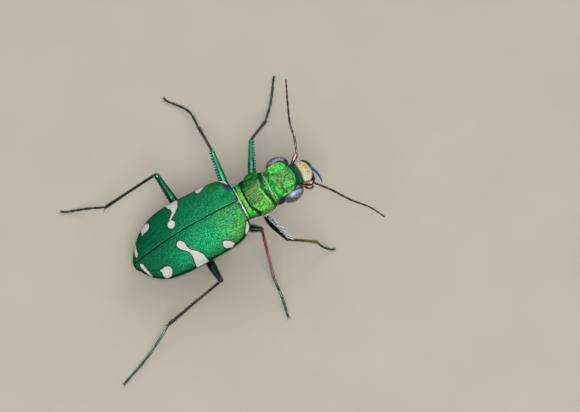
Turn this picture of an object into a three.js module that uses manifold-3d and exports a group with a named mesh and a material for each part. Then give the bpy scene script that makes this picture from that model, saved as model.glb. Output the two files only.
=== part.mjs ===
// A tiger beetle at life size, standing with its head raised, in millimetres.
// +X runs from the tail to the head, +Y to the beetle's left, +Z up, and the feet stand on z = 0.
import * as THREE from "three";
import { mergeVertices } from "three/addons/utils/BufferGeometryUtils.js";
import Module from "manifold-3d";

const wasm = await Module();
wasm.setup();

// Stance of the body: its own axes have x forward from the base of the wing cases and z towards the back.
const BODY_HEIGHT = 3.34;
const BODY_PITCH = THREE.MathUtils.degToRad(10.7);
const BODY_ROLL = THREE.MathUtils.degToRad(2.7);
const GAP = 0.05;

// Wing cases, each a domed shell that ends at the seam between them.
const ELYTRA_LENGTH = 7.95;
const ELYTRA_HALF_WIDTH = 2.46;
const ELYTRA_CROWN = 1.3;
const SHELL_THICKNESS = 0.5;
const RIM_HEIGHT = 0.3;
const SCUTELLUM = { length: 0.44, halfWidth: 0.27, base: 1.1, height: 0.3 };

// Sections across the body: place along it, half width, height of the back, height of the belly.
const PRONOTUM_SECTIONS = [
  [0.08, 1.14, 1.24, -0.5],
  [0.36, 1.24, 1.36, -0.56],
  [0.62, 1.26, 1.22, -0.62],
  [0.95, 1.42, 1.42, -0.68],
  [1.45, 1.53, 1.5, -0.7],
  [1.8, 1.43, 1.3, -0.64],
  [2.02, 1.35, 1.34, -0.56],
  [2.27, 1.25, 1.2, -0.46],
];
const HEAD_SECTIONS = [
  [2.33, 1.18, 1.14, -0.4],
  [2.62, 1.16, 1.22, -0.5],
  [3.1, 1.16, 1.28, -0.56],
  [3.6, 1.15, 1.24, -0.56],
  [4.0, 1.04, 1.12, -0.5],
  [4.26, 0.86, 0.96, -0.42],
];
const CLYPEUS_SECTIONS = [
  [4.31, 0.8, 0.92, 0.12],
  [4.6, 0.74, 0.78, 0.14],
];
const LABRUM_SECTIONS = [
  [4.65, 0.73, 0.74, 0.36],
  [5.05, 0.68, 0.48, 0.14],
  [5.2, 0.52, 0.34, 0.06],
  [5.34, 0.2, 0.2, 0.0],
];
const MESOTHORAX_SECTIONS = [
  [0.02, 0.85, 0.86, -0.78],
  [-0.5, 1.14, 0.86, -1.05],
  [-1.3, 1.64, 0.95, -1.2],
];
const METATHORAX_SECTIONS = [
  [-1.35, 1.66, 0.95, -1.2],
  [-2.6, 1.94, 1.0, -1.25],
  [-3.7, 1.96, 1.0, -1.15],
];
const ABDOMEN_SECTIONS = [
  [-3.76, 1.96, 0.98, -1.1],
  [-5.0, 1.9, 0.82, -1.06],
  [-6.2, 1.6, 0.46, -0.92],
  [-7.1, 1.06, 0.12, -0.7],
  [-7.46, 0.7, -0.02, -0.54],
];
const ABDOMEN_TIP_SECTIONS = [
  [-7.52, 0.7, -0.04, -0.52],
  [-7.85, 0.54, -0.06, -0.44],
  [-8.14, 0.24, -0.1, -0.34],
];

const EYE = {
  centre: [3.52, 1.1, 0.74],
  radii: [0.76, 0.57, 0.56],
  turn: THREE.MathUtils.degToRad(11),
};

// Mouthparts. The left jaw closes over the right one, and the palps are given for the left side.
const LEFT_JAW = [
  [4.38, 0.56, -0.16],
  [4.95, 0.8, -0.12],
  [5.38, 0.46, -0.1],
  [5.58, -0.12, -0.08],
  [5.66, -0.62, -0.1],
  [5.56, -1.08, -0.14],
];
const RIGHT_JAW = [
  [4.38, -0.56, -0.2],
  [4.9, -0.84, -0.3],
  [5.22, -0.66, -0.4],
  [5.36, -0.2, -0.44],
  [5.36, 0.32, -0.46],
  [5.24, 0.84, -0.46],
];
const JAW_RADIUS = 0.17;
const MAXILLARY_PALP = [
  [4.44, 0.6, -0.62],
  [4.74, 0.92, -0.72],
  [5.1, 0.9, -0.84],
];
const LABIAL_PALP = [
  [4.4, 0.22, -0.72],
  [4.75, 0.34, -1.04],
  [5.15, 0.34, -1.12],
];
const PALP_RADIUS = 0.18;

// Feelers: root, end of the root piece, and points on to the tip.
const FEELER_RADIUS = 0.25;
const FEELERS = {
  left: [
    [4.5, 0.9, 0.66],
    [4.96, 1.24, 0.75],
    [5.29, 2.05, 1.01],
    [5.51, 3.11, 1.27],
    [5.98, 4.42, 1.17],
    [6.7, 6.36, 0.33],
  ],
  right: [
    [4.5, -0.87, 0.62],
    [5.04, -1.13, 0.74],
    [5.83, -2.26, 1.1],
    [6.67, -3.6, 1.21],
    [7.55, -4.6, 0.99],
    [8.09, -5.47, 0.52],
  ],
};

// Legs. A hip is in the body's own axes, for the left side, and the other joints are in the beetle's frame.
// Bow is how far a foot's middle swings off the straight line from ankle to toe.
const HIPS = {
  front: [1.08, 0.8, -0.98],
  middle: [-0.42, 0.95, -1.3],
  hind: [-3.6, 1.05, -1.4],
};
const LEGS = {
  front_left: { knee: [2.74, 4.13, 3.4], ankle: [4.68, 5.95, 1.0], toe: [6.87, 9.1], bow: 0.1 },
  front_right: { knee: [1.65, -3.85, 4.2], ankle: [3.7, -3.93, 1.9], toe: [5.02, -4.25], bow: 0.05 },
  middle_left: { knee: [0.08, 4.66, 3.2], ankle: [0.47, 7.63, 0.75], toe: [-0.58, 10.96], bow: 0.5 },
  middle_right: { knee: [0.31, -2.59, 4.6], ankle: [0.11, -4.76, 1.2], toe: [-0.04, -7.31], bow: 0.1 },
  hind_left: { knee: [-4.2, 4.36, 4.1], ankle: [-7.83, 4.75, 1.5], toe: [-10.44, 6.34], bow: 0.2 },
  hind_right: { knee: [-3.59, -4.41, 3.8], ankle: [-7.63, -4.68, 1.1], toe: [-11.93, -6.84], bow: 0.1 },
};
const COXA_RADII = [0.44, 0.37, 0.26];
const COXA_DROP = 0.06;
const TROCHANTER_RADIUS = 0.25;
const TROCHANTER_LENGTH = 0.42;
const FEMUR_RADII = [0.27, 0.33, 0.32, 0.28, 0.26];
const FEMUR_BOW = 0.06;
const TIBIA_START = 0.46;
const TIBIA_RADIUS = 0.25;
const TARSUS_RADIUS = 0.24;
const TARSUS_SINK = 0.2;

// Finishes.
const finish = (color, roughness, metalness) => {
  return new THREE.MeshStandardMaterial({ color, roughness, metalness });
};
const SHELL_GREEN = finish(0x14904a, 0.45, 0.6);
const GOLDEN_GREEN = finish(0x3f9a1e, 0.35, 0.7);
const DARK_BLUE = finish(0x1d2440, 0.35, 0.6);
const EYE_GREY = finish(0x5d5f68, 0.2, 0.0);
const IVORY = finish(0xd9cfae, 0.5, 0.0);
const JAW_DARK = finish(0x1c1a20, 0.3, 0.4);
const LEG_GREEN = finish(0x0c5f3c, 0.35, 0.7);
const BRONZE = finish(0x4c3524, 0.35, 0.7);

const vector = (p) => new THREE.Vector3(...p);
const mirrored = ([x, y, z], side) => new THREE.Vector3(x, y * side, z);

// A closed geometry through rings of equal counts, each end closed by a fan round its middle.
function skin(rings) {
  const count = rings[0].length;
  const points = rings.flat();
  const faces = [];
  for (let r = 0; r + 1 < rings.length; r++) {
    for (let k = 0; k < count; k++) {
      const a = r * count + k;
      const b = r * count + ((k + 1) % count);
      faces.push(a, b, a + count, b, b + count, a + count);
    }
  }
  for (const [ring, start, end] of [
    [rings[0], 0, false],
    [rings.at(-1), (rings.length - 1) * count, true],
  ]) {
    const middle = points.length;
    points.push(ring.reduce((sum, p) => sum.add(p), new THREE.Vector3()).divideScalar(count));
    for (let k = 0; k < count; k++) {
      const a = start + k;
      const b = start + ((k + 1) % count);
      faces.push(...(end ? [a, b, middle] : [b, a, middle]));
    }
  }
  return outward(new THREE.BufferGeometry().setFromPoints(points).setIndex(faces));
}

// The same geometry with its faces turned to point out of the volume that they close.
function outward(geometry) {
  const at = geometry.getAttribute("position");
  const index = geometry.index.array;
  const [a, b, c] = [new THREE.Vector3(), new THREE.Vector3(), new THREE.Vector3()];
  let volume = 0;
  for (let i = 0; i < index.length; i += 3) {
    a.fromBufferAttribute(at, index[i]);
    b.fromBufferAttribute(at, index[i + 1]);
    c.fromBufferAttribute(at, index[i + 2]);
    volume += a.dot(b.cross(c));
  }
  if (volume < 0) {
    for (let i = 0; i < index.length; i += 3) [index[i], index[i + 1]] = [index[i + 1], index[i]];
  }
  return geometry;
}

// Cuts one closed geometry out of another.
function solid(geometry) {
  const bare = geometry.clone();
  bare.deleteAttribute("normal");
  bare.deleteAttribute("uv");
  const merged = mergeVertices(bare, 1e-5);
  const vertProperties = new Float32Array(merged.getAttribute("position").array);
  return new wasm.Manifold(
    new wasm.Mesh({ numProp: 3, vertProperties, triVerts: new Uint32Array(merged.index.array) }),
  );
}
function cut(geometry, ...tools) {
  const left = tools.reduce((body, tool) => body.subtract(solid(tool)), solid(geometry));
  const { numProp, vertProperties, triVerts } = left.getMesh();
  const position = new Float32Array((vertProperties.length / numProp) * 3);
  for (let i = 0; i < position.length / 3; i++) {
    position.set(vertProperties.subarray(i * numProp, i * numProp + 3), i * 3);
  }
  return new THREE.BufferGeometry()
    .setAttribute("position", new THREE.BufferAttribute(position, 3))
    .setIndex(new THREE.BufferAttribute(triVerts, 1));
}

// A body piece lofted through sections, each a rounded outline whose widest line is at a share of its height.
// Powers under 1 make the outline boxier above that line (square) or below it (keel).
function trunk(sections, { stations, points = 20, widest = 0.45, square = 0.85, keel = 1 }) {
  const curve = (column) => {
    const line = sections.map((row) => new THREE.Vector3(row[0], row[column], 0));
    return new THREE.CatmullRomCurve3(line, false, "centripetal");
  };
  const columns = [1, 2, 3].map(curve);
  const rings = [];
  for (let s = 0; s <= stations; s++) {
    const [wide, top, bottom] = columns.map((c) => c.getPoint(s / stations));
    const middle = bottom.y + (top.y - bottom.y) * widest;
    rings.push(
      Array.from({ length: points }, (_, k) => {
        const angle = (2 * Math.PI * k) / points;
        const above = Math.sin(angle) >= 0;
        const power = above ? square : keel;
        const across = Math.sign(Math.cos(angle)) * Math.abs(Math.cos(angle)) ** power;
        const height = middle + ((above ? top.y : bottom.y) - middle) * Math.abs(Math.sin(angle)) ** power;
        return new THREE.Vector3(wide.x, wide.y * across, height);
      }),
    );
  }
  return skin(rings);
}

// A limb: round sections along a curve, with radii spread evenly over it and domed ends.
function limb(points, radii, { steps = 8, sides = 8, domes = [0.8, 0.8], floor = -Infinity } = {}) {
  const curve = new THREE.CatmullRomCurve3(points, false, "centripetal");
  const frames = curve.computeFrenetFrames(steps, false);
  const radiusAt = (t) => {
    const place = t * (radii.length - 1);
    const low = Math.min(Math.floor(place), radii.length - 2);
    return THREE.MathUtils.lerp(radii[low], radii[low + 1], place - low);
  };
  const ring = (step, radius, shift) => {
    const centre = curve.getPointAt(step / steps).addScaledVector(frames.tangents[step], shift);
    return Array.from({ length: sides }, (_, k) => {
      const angle = (2 * Math.PI * (k + 0.5)) / sides;
      const p = centre
        .clone()
        .addScaledVector(frames.normals[step], radius * Math.cos(angle))
        .addScaledVector(frames.binormals[step], radius * Math.sin(angle));
      p.z = Math.max(p.z, floor);
      return p;
    });
  };
  const rings = [];
  for (let s = 0; s <= steps; s++) rings.push(ring(s, radiusAt(s / steps), 0));
  const [first, last] = [radiusAt(0), radiusAt(1)];
  if (domes[0]) rings.unshift(ring(0, first * 0.55, -first * domes[0]));
  if (domes[1]) rings.push(ring(steps, last * 0.55, last * domes[1]));
  return skin(rings);
}

// One wing case. Lines run from the seam to the edge, and the shell's inside is the same dome, set in.
function elytron(side) {
  const along = 14;
  const across = 8;
  const edge = new THREE.CatmullRomCurve3(
    [
      [-0.06, 1.16],
      [-0.22, 1.62],
      [-0.55, 2.02],
      [-1.2, 2.26],
      [-2.4, 0.978 * ELYTRA_HALF_WIDTH],
      [-3.9, ELYTRA_HALF_WIDTH],
      [-5.2, 0.965 * ELYTRA_HALF_WIDTH],
      [-6.3, 2.12],
      [-7.05, 1.66],
      [-7.6, 1.0],
      [-ELYTRA_LENGTH, 0.2],
    ].map(([x, y]) => new THREE.Vector3(x, y, 0)),
    false,
    "centripetal",
  );
  const point = (s, v, inset) => {
    const rim = edge.getPointAt(s);
    const seamX = -inset * 0.2 - s * (ELYTRA_LENGTH - inset * 0.3);
    const reach = Math.max(rim.y - inset * 0.8, 0.12);
    const x = THREE.MathUtils.lerp(seamX, rim.x + (s > 0.5 ? inset * 0.5 : -inset * 0.1), v ** 1.6);
    const y = THREE.MathUtils.lerp(GAP / 2, reach, v);
    const crown = ELYTRA_CROWN * Math.sin(Math.PI * (0.36 + 0.6 * s ** 1.25)) ** 0.9;
    const dome = (1 - v ** 2.3) ** 0.6;
    const notch = Math.max(0, 1 - y / SCUTELLUM.halfWidth) * SCUTELLUM.length;
    const rise = RIM_HEIGHT * (1 - 0.5 * s ** 3);
    return new THREE.Vector3(
      Math.min(x, -GAP - notch * (1 - s * 4)),
      side * y,
      rise + (crown - inset * 0.9) * dome - (inset ? 0.02 : 0),
    );
  };
  const shares = Array.from({ length: across + 1 }, (_, j) => Math.sin((Math.PI / 2) * (j / across)));
  const line = (s, inset) => shares.map((v) => point(s, v, inset));
  const sheet = (inset) => Array.from({ length: along + 1 }, (_, i) => line(i / along, inset));
  const outer = sheet(0);
  const inner = sheet(SHELL_THICKNESS);
  return skin(outer.map((line, i) => [...line, ...inner[i].slice().reverse()]));
}

// An eyeball, for the left side or mirrored, made larger by a margin where it cuts its socket.
function eye(side, margin = 0) {
  const [a, b, c] = EYE.radii;
  return outward(
    new THREE.SphereGeometry(1, 16, 10)
      .rotateX(Math.PI / 2)
      .scale(a + margin, b + margin, c + margin)
      .rotateZ(-side * EYE.turn)
      .translate(EYE.centre[0], side * EYE.centre[1], EYE.centre[2]),
  );
}

const beetle = new THREE.Group();
const body = new THREE.Group();
body.position.z = BODY_HEIGHT;
body.rotation.set(BODY_ROLL, -BODY_PITCH, 0, "ZYX");
body.updateMatrix();
beetle.add(body);
const add = (group, name, geometry, material) => {
  const mesh = new THREE.Mesh(geometry, material);
  mesh.name = name;
  group.add(mesh);
};

for (const [name, side] of [["left", 1], ["right", -1]]) {
  add(body, `elytron_${name}`, elytron(side), SHELL_GREEN);
  add(body, `eye_${name}`, eye(side), EYE_GREY);
}

// The shield between the wing cases is a small triangle with its point to the rear.
{
  const { length, halfWidth } = SCUTELLUM;
  const triangle = new THREE.Shape([
    new THREE.Vector2(-GAP, halfWidth - GAP),
    new THREE.Vector2(-length + GAP, 0),
    new THREE.Vector2(-GAP, GAP - halfWidth),
  ]);
  const plate = new THREE.ExtrudeGeometry(triangle, { depth: SCUTELLUM.height, bevelEnabled: false });
  add(body, "scutellum", plate.translate(0, 0, SCUTELLUM.base), GOLDEN_GREEN);
}

const feelerRoot = (side, margin) => {
  const [root, joint] = FEELERS[side].map(vector);
  const radius = FEELER_RADIUS + margin;
  const line = [root, root.clone().lerp(joint, 0.5), joint];
  return limb(line, [radius, radius], { steps: 3, domes: [0.2, 0.8] });
};
const sockets = [feelerRoot("left", GAP), feelerRoot("right", GAP)];

add(body, "pronotum", trunk(PRONOTUM_SECTIONS, { stations: 14, square: 0.8, keel: 1.1 }), GOLDEN_GREEN);
const head = trunk(HEAD_SECTIONS, { stations: 9, square: 0.62 });
add(body, "head", cut(head, eye(1, GAP), eye(-1, GAP)), GOLDEN_GREEN);
const clypeus = trunk(CLYPEUS_SECTIONS, { stations: 2, points: 16, square: 0.7 });
add(body, "clypeus", cut(clypeus, ...sockets), DARK_BLUE);
const labrum = trunk(LABRUM_SECTIONS, { stations: 5, points: 16, square: 0.7 });
add(body, "labrum", cut(labrum, ...sockets), IVORY);
const belly = { square: 0.95, keel: 1.15, widest: 0.5 };
add(body, "mesothorax", trunk(MESOTHORAX_SECTIONS, { stations: 6, ...belly }), LEG_GREEN);
add(body, "metathorax", trunk(METATHORAX_SECTIONS, { stations: 6, ...belly }), LEG_GREEN);
add(body, "abdomen", trunk(ABDOMEN_SECTIONS, { stations: 8, ...belly }), DARK_BLUE);
add(body, "abdomen_tip", trunk(ABDOMEN_TIP_SECTIONS, { stations: 4, ...belly }), DARK_BLUE);

const jawRadii = [1, 1, 0.85, 0.7, 0.55, 0.3].map((share) => share * JAW_RADIUS);
const jaw = { steps: 10, sides: 7, domes: [0, 0.8] };
add(body, "mandible_left", limb(LEFT_JAW.map(vector), jawRadii, jaw), JAW_DARK);
add(body, "mandible_right", limb(RIGHT_JAW.map(vector), jawRadii, jaw), JAW_DARK);
for (const [name, side] of [["left", 1], ["right", -1]]) {
  const palp = (points) => {
    return limb(points.map((p) => mirrored(p, side)), [PALP_RADIUS, PALP_RADIUS], { steps: 4 });
  };
  add(body, `maxillary_palp_${name}`, palp(MAXILLARY_PALP), JAW_DARK);
  add(body, `labial_palp_${name}`, palp(LABIAL_PALP), JAW_DARK);

  const [, joint, ...rest] = FEELERS[name].map(vector);
  const onward = rest[0].clone().sub(joint).normalize();
  const start = joint.clone().addScaledVector(onward, 2 * FEELER_RADIUS + GAP);
  const lash = limb([start, ...rest], [FEELER_RADIUS, FEELER_RADIUS], { steps: 18 });
  add(body, `scape_${name}`, feelerRoot(name, 0), BRONZE);
  add(body, `antenna_${name}`, lash, BRONZE);
}

// The legs: hip piece, ring piece, thigh, shin and foot. Each foot's underside lies flat on the ground.
for (const [name, { knee, ankle, toe, bow }] of Object.entries(LEGS)) {
  const [row, sideName] = name.split("_");
  const side = sideName === "left" ? 1 : -1;
  const socket = mirrored(HIPS[row], side);
  const hip = socket.clone().applyMatrix4(body.matrix);
  const kneeAt = vector(knee);
  const ankleAt = vector(ankle);
  const toeAt = new THREE.Vector3(...toe, TARSUS_SINK);

  const coxa = new THREE.SphereGeometry(1, 9, 6)
    .rotateX(Math.PI / 2)
    .scale(...COXA_RADII)
    .translate(socket.x, socket.y - side * COXA_RADII[1], socket.z - COXA_DROP);
  add(body, `coxa_${name}`, outward(coxa), LEG_GREEN);

  const thigh = kneeAt.clone().sub(hip).normalize();
  const along = (distance) => hip.clone().addScaledVector(thigh, distance);
  const thighStart = TROCHANTER_LENGTH + GAP;
  const ringLine = [along(GAP), along(TROCHANTER_LENGTH / 2), along(TROCHANTER_LENGTH)];
  const ringRadii = [TROCHANTER_RADIUS * 0.7, TROCHANTER_RADIUS, TROCHANTER_RADIUS];
  const ringPiece = limb(ringLine, ringRadii, { steps: 3, domes: [0, 0] });
  add(beetle, `trochanter_${name}`, ringPiece, LEG_GREEN);

  const femurEnd = kneeAt.clone().addScaledVector(thigh, -FEMUR_RADII.at(-1));
  const femur = [along(thighStart), along(thighStart).lerp(femurEnd, 0.4), femurEnd];
  femur[1].z -= FEMUR_BOW;
  add(beetle, `femur_${name}`, limb(femur, FEMUR_RADII, { steps: 7, domes: [0, 0.8] }), LEG_GREEN);

  const shin = ankleAt.clone().sub(kneeAt).normalize();
  const tibiaStart = kneeAt.clone().addScaledVector(shin, TIBIA_START);
  const tibiaEnd = ankleAt.clone().addScaledVector(shin, -TIBIA_RADIUS);
  const tibia = [tibiaStart, tibiaStart.clone().lerp(tibiaEnd, 0.5), tibiaEnd];
  add(beetle, `tibia_${name}`, limb(tibia, [TIBIA_RADIUS, TIBIA_RADIUS], { steps: 4 }), BRONZE);

  const foot = toeAt.clone().sub(ankleAt);
  const sideways = new THREE.Vector3(-foot.y, foot.x, 0).normalize();
  const tarsusStart = ankleAt.clone().addScaledVector(foot.clone().normalize(), TIBIA_RADIUS + GAP);
  const tarsusMiddle = tarsusStart.clone().lerp(toeAt, 0.45).addScaledVector(sideways, -side * bow);
  tarsusMiddle.z = Math.max(tarsusMiddle.z * 0.75, TARSUS_SINK);
  const tarsusRadii = [TARSUS_RADIUS, TARSUS_RADIUS];
  const tarsus = limb([tarsusStart, tarsusMiddle, toeAt], tarsusRadii, { steps: 7, floor: 0 });
  add(beetle, `tarsus_${name}`, tarsus, LEG_GREEN);
}

// The beetle's frame starts on the ground below the middle of its box.
const box = new THREE.Box3().setFromObject(beetle, true);
const middle = box.getCenter(new THREE.Vector3());
beetle.position.set(-middle.x, -middle.y, 0);
beetle.updateMatrixWorld(true);

export default beetle;
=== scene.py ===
import math

import bpy
import numpy as np
from mathutils import Matrix, Vector


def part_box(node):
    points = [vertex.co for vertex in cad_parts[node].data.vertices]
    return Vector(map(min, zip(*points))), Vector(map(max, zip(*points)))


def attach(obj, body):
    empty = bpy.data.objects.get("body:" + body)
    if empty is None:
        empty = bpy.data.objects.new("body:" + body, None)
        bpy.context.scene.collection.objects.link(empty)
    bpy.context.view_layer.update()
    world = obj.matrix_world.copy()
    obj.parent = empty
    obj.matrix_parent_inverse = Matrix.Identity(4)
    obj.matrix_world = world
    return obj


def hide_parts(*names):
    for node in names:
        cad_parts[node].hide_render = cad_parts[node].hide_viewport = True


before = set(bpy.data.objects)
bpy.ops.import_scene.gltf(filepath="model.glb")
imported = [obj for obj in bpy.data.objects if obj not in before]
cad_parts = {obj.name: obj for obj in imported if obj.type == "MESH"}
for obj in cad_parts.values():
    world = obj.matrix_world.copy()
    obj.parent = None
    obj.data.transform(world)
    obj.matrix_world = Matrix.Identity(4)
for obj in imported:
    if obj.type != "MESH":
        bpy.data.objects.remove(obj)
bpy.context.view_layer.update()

# Middle and hind thorax
# Two hard rings of plates that carry the wing cases and four of the legs. They are dark green and copper,
# finely pitted, with thin seams where the side plates meet the breast. The front shield sits on the first.
MM = 0.001
BODY_PITCH = math.radians(10.7)
BODY_ROLL = math.radians(2.7)
BODY_TURN = Matrix.Rotation(-BODY_PITCH, 3, "Y") @ Matrix.Rotation(BODY_ROLL, 3, "X")
EYE_CENTRE = (3.52, 1.1, 0.74)
# The body's own axes run forwards, to its left and up, in mm. The left eye's box shows where they start.
eye_low, eye_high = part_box("eye_left")
BODY_HOME = (eye_low + eye_high) / (2 * MM) - BODY_TURN @ Vector(EYE_CENTRE)
MIDDLE_THORAX = [
    (0.22, 0.7, 0.74, -0.62),
    (0.02, 0.85, 0.86, -0.78),
    (-0.5, 1.14, 0.86, -1.05),
    (-1.34, 1.64, 0.95, -1.2),
]
HIND_THORAX = [(-1.33, 1.66, 0.95, -1.2), (-2.6, 1.94, 1.0, -1.25), (-3.74, 1.96, 1.0, -1.15)]
BELLY_ROUNDNESS = {"widest": 0.5, "square": 0.95, "keel": 1.15}
SEAM_WIDTH = 0.03
SEAM_DEPTH = 0.03
THORAX_RIPPLE = 0.012


def in_row(points):
    """Points along the body's own axes, in mm, as points of the row frame, still in mm."""
    return np.asarray(points, float) @ np.array(BODY_TURN).T + np.array(BODY_HOME)


def curve_through(points, count):
    """Even steps of a smooth centripetal curve through points of any number of dimensions."""
    p = np.asarray(points, float)
    p = np.vstack([2 * p[0] - p[1], p, 2 * p[-1] - p[-2]])
    spans = len(p) - 3
    made = []
    for t in np.linspace(0, spans, count):
        i = min(int(t), spans - 1)
        a, b, c, d = p[i : i + 4]
        k0, k1, k2 = (np.linalg.norm(step) ** 0.5 for step in (b - a, c - b, d - c))
        start = k1 * ((b - a) / k0 - (c - a) / (k0 + k1) + (c - b) / k1)
        end = k1 * ((c - b) / k1 - (d - b) / (k1 + k2) + (d - c) / k2)
        u = t - i
        bow = 3 * (c - b) - 2 * start - end
        twist = 2 * (b - c) + start + end
        made.append(b + u * start + u**2 * bow + u**3 * twist)
    return np.array(made)


def lengths(path):
    """How far along a path each of its points is."""
    return np.concatenate([[0], np.cumsum(np.linalg.norm(np.diff(path, axis=0), axis=1))])


def points_at(path, at, marks):
    """Points of a path, at values of a scale that has one mark for each of its points."""
    return np.stack([np.interp(at, marks, column) for column in path.T], axis=-1)


def even_steps(path, count):
    """The same path in steps of equal length."""
    along_it = lengths(path)
    return points_at(path, np.linspace(0, along_it[-1], count), along_it)


def ease(value, low, high):
    """0 below low, 1 above high and smooth in between."""
    t = np.clip((value - low) / (high - low), 0, 1)
    return t * t * (3 - 2 * t)


def groove(distance, width):
    """A rounded valley one deep, from the distance to its middle line."""
    return -np.exp(-((distance / width) ** 2))


def trunk(sections, stations, count=120, *, square, widest=0.45, keel=1.0):
    """Rings round the body through sections of place, half width, back and belly, with evenly spaced points.
    Powers under 1 make a ring boxier above its widest line (square) or below it (keel)."""
    angle = np.linspace(0, 2 * np.pi, 721)
    above = np.sin(angle) >= 0
    corners = np.broadcast_to(square, stations)
    rings = []
    for (x, half, top, bottom), corner in zip(curve_through(sections, stations), corners):
        power = np.where(above, corner, keel)
        middle = bottom + (top - bottom) * widest
        across = half * np.sign(np.cos(angle)) * np.abs(np.cos(angle)) ** power
        height = middle + (np.where(above, top, bottom) - middle) * np.abs(np.sin(angle)) ** power
        ring = np.column_stack([np.full_like(across, x), across, height])
        rings.append(even_steps(ring, count + 1)[:-1])
    return np.array(rings)


def outward(rings):
    """The directions straight out of the shell at the points of its rings."""
    round_it = np.roll(rings, -1, axis=1) - np.roll(rings, 1, axis=1)
    normal = np.cross(round_it, np.gradient(rings, axis=0))
    normal /= np.linalg.norm(normal, axis=2, keepdims=True) + 1e-12
    return normal * np.sign(np.sum(normal * (rings - rings.mean(axis=1, keepdims=True))))


def push(rings, rise):
    """The rings with every point moved outwards by its own rise."""
    return rings + outward(rings) * rise[..., None]


def keep(mesh, label, values, kind="FLOAT"):
    """Gives each point of a mesh its own value or vector."""
    stored = mesh.attributes.new(label, kind, "POINT").data
    stored.foreach_set("value" if kind == "FLOAT" else "vector", np.ravel(values))


def closed_mesh(name, rings, fields={}):
    """A closed mesh through rings along the body's axes, zipped shut at both ends. It keeps each point's
    place in mm, for the finishes, and the named fields."""
    count = rings.shape[1]
    index = np.arange(rings.shape[0] * count).reshape(rings.shape[:2])
    after = np.roll(index, -1, axis=1)
    walls = np.stack([index[:-1], after[:-1], after[1:], index[1:]], axis=-1).reshape(-1, 4)
    near = np.arange(count // 2 - 1)
    front, back = (
        np.stack([ring[near], ring[near + 1], ring[count - 2 - near], ring[count - 1 - near]], axis=-1)
        for ring in (index[0], index[-1])
    )
    faces = np.vstack([walls, front[:, ::-1], back])
    points = rings.reshape(-1, 3)
    a, b, c, d = (points[faces[:, k]] for k in range(4))
    if np.sum(a * (np.cross(b, c) + np.cross(c, d))) < 0:
        faces = faces[:, ::-1]
    mesh = bpy.data.meshes.new(name)
    mesh.from_pydata((in_row(points) * MM).tolist(), [], faces.tolist())
    keep(mesh, "place", points, "FLOAT_VECTOR")
    for label, values in fields.items():
        keep(mesh, label, values)
    mesh.shade_smooth()
    return mesh


def piece(name, mesh, look, node=None):
    """A finished mesh as a piece of the beetle, in the place of its CAD node where it has one. A mesh that a
    tree makes has its material already."""
    made = bpy.data.objects.new(name, mesh)
    bpy.context.scene.collection.objects.link(made)
    if look is not None:
        mesh.materials.append(look.material)
    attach(made, "root")
    if node is not None:
        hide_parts(node)


class Wire:
    """A node's output. Sums and products of wires add Math nodes to their tree."""

    def __init__(self, net, socket):
        self.net = net
        self.socket = socket

    def __add__(self, other):
        return self.net.maths("ADD", self, other)

    def __sub__(self, other):
        return self.net.maths("SUBTRACT", self, other)

    def __rsub__(self, other):
        return self.net.maths("SUBTRACT", other, self)

    def __mul__(self, other):
        return self.net.maths("MULTIPLY", self, other)

    def __pow__(self, other):
        return self.net.maths("POWER", self, other)

    def __abs__(self):
        return self.net.maths("ABSOLUTE", self)

    __radd__ = __add__
    __rmul__ = __mul__


class Net:
    """The nodes of one tree."""

    def __init__(self, tree):
        self.tree = tree

    def node(self, kind, settings, inputs, output=0):
        """One node with its settings and the values or wires of its sockets. Gives the wire of one output."""
        made = self.tree.nodes.new(kind)
        for key, value in settings.items():
            setattr(made, key, value)
        for key, value in inputs.items():
            if isinstance(value, Wire):
                self.tree.links.new(value.socket, made.inputs[key])
            else:
                made.inputs[key].default_value = value
        return Wire(self, made.outputs[output])

    def maths(self, operation, *terms):
        return self.node("ShaderNodeMath", {"operation": operation}, dict(enumerate(terms)))


def paint(tint):
    """A tint's red, green and blue as they look, from 0 to 255, turned into the shader's linear values."""
    return (*(c / 255 / 12.92 if c < 11 else ((c / 255 + 0.055) / 1.055) ** 2.4 for c in tint), 1)


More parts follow.
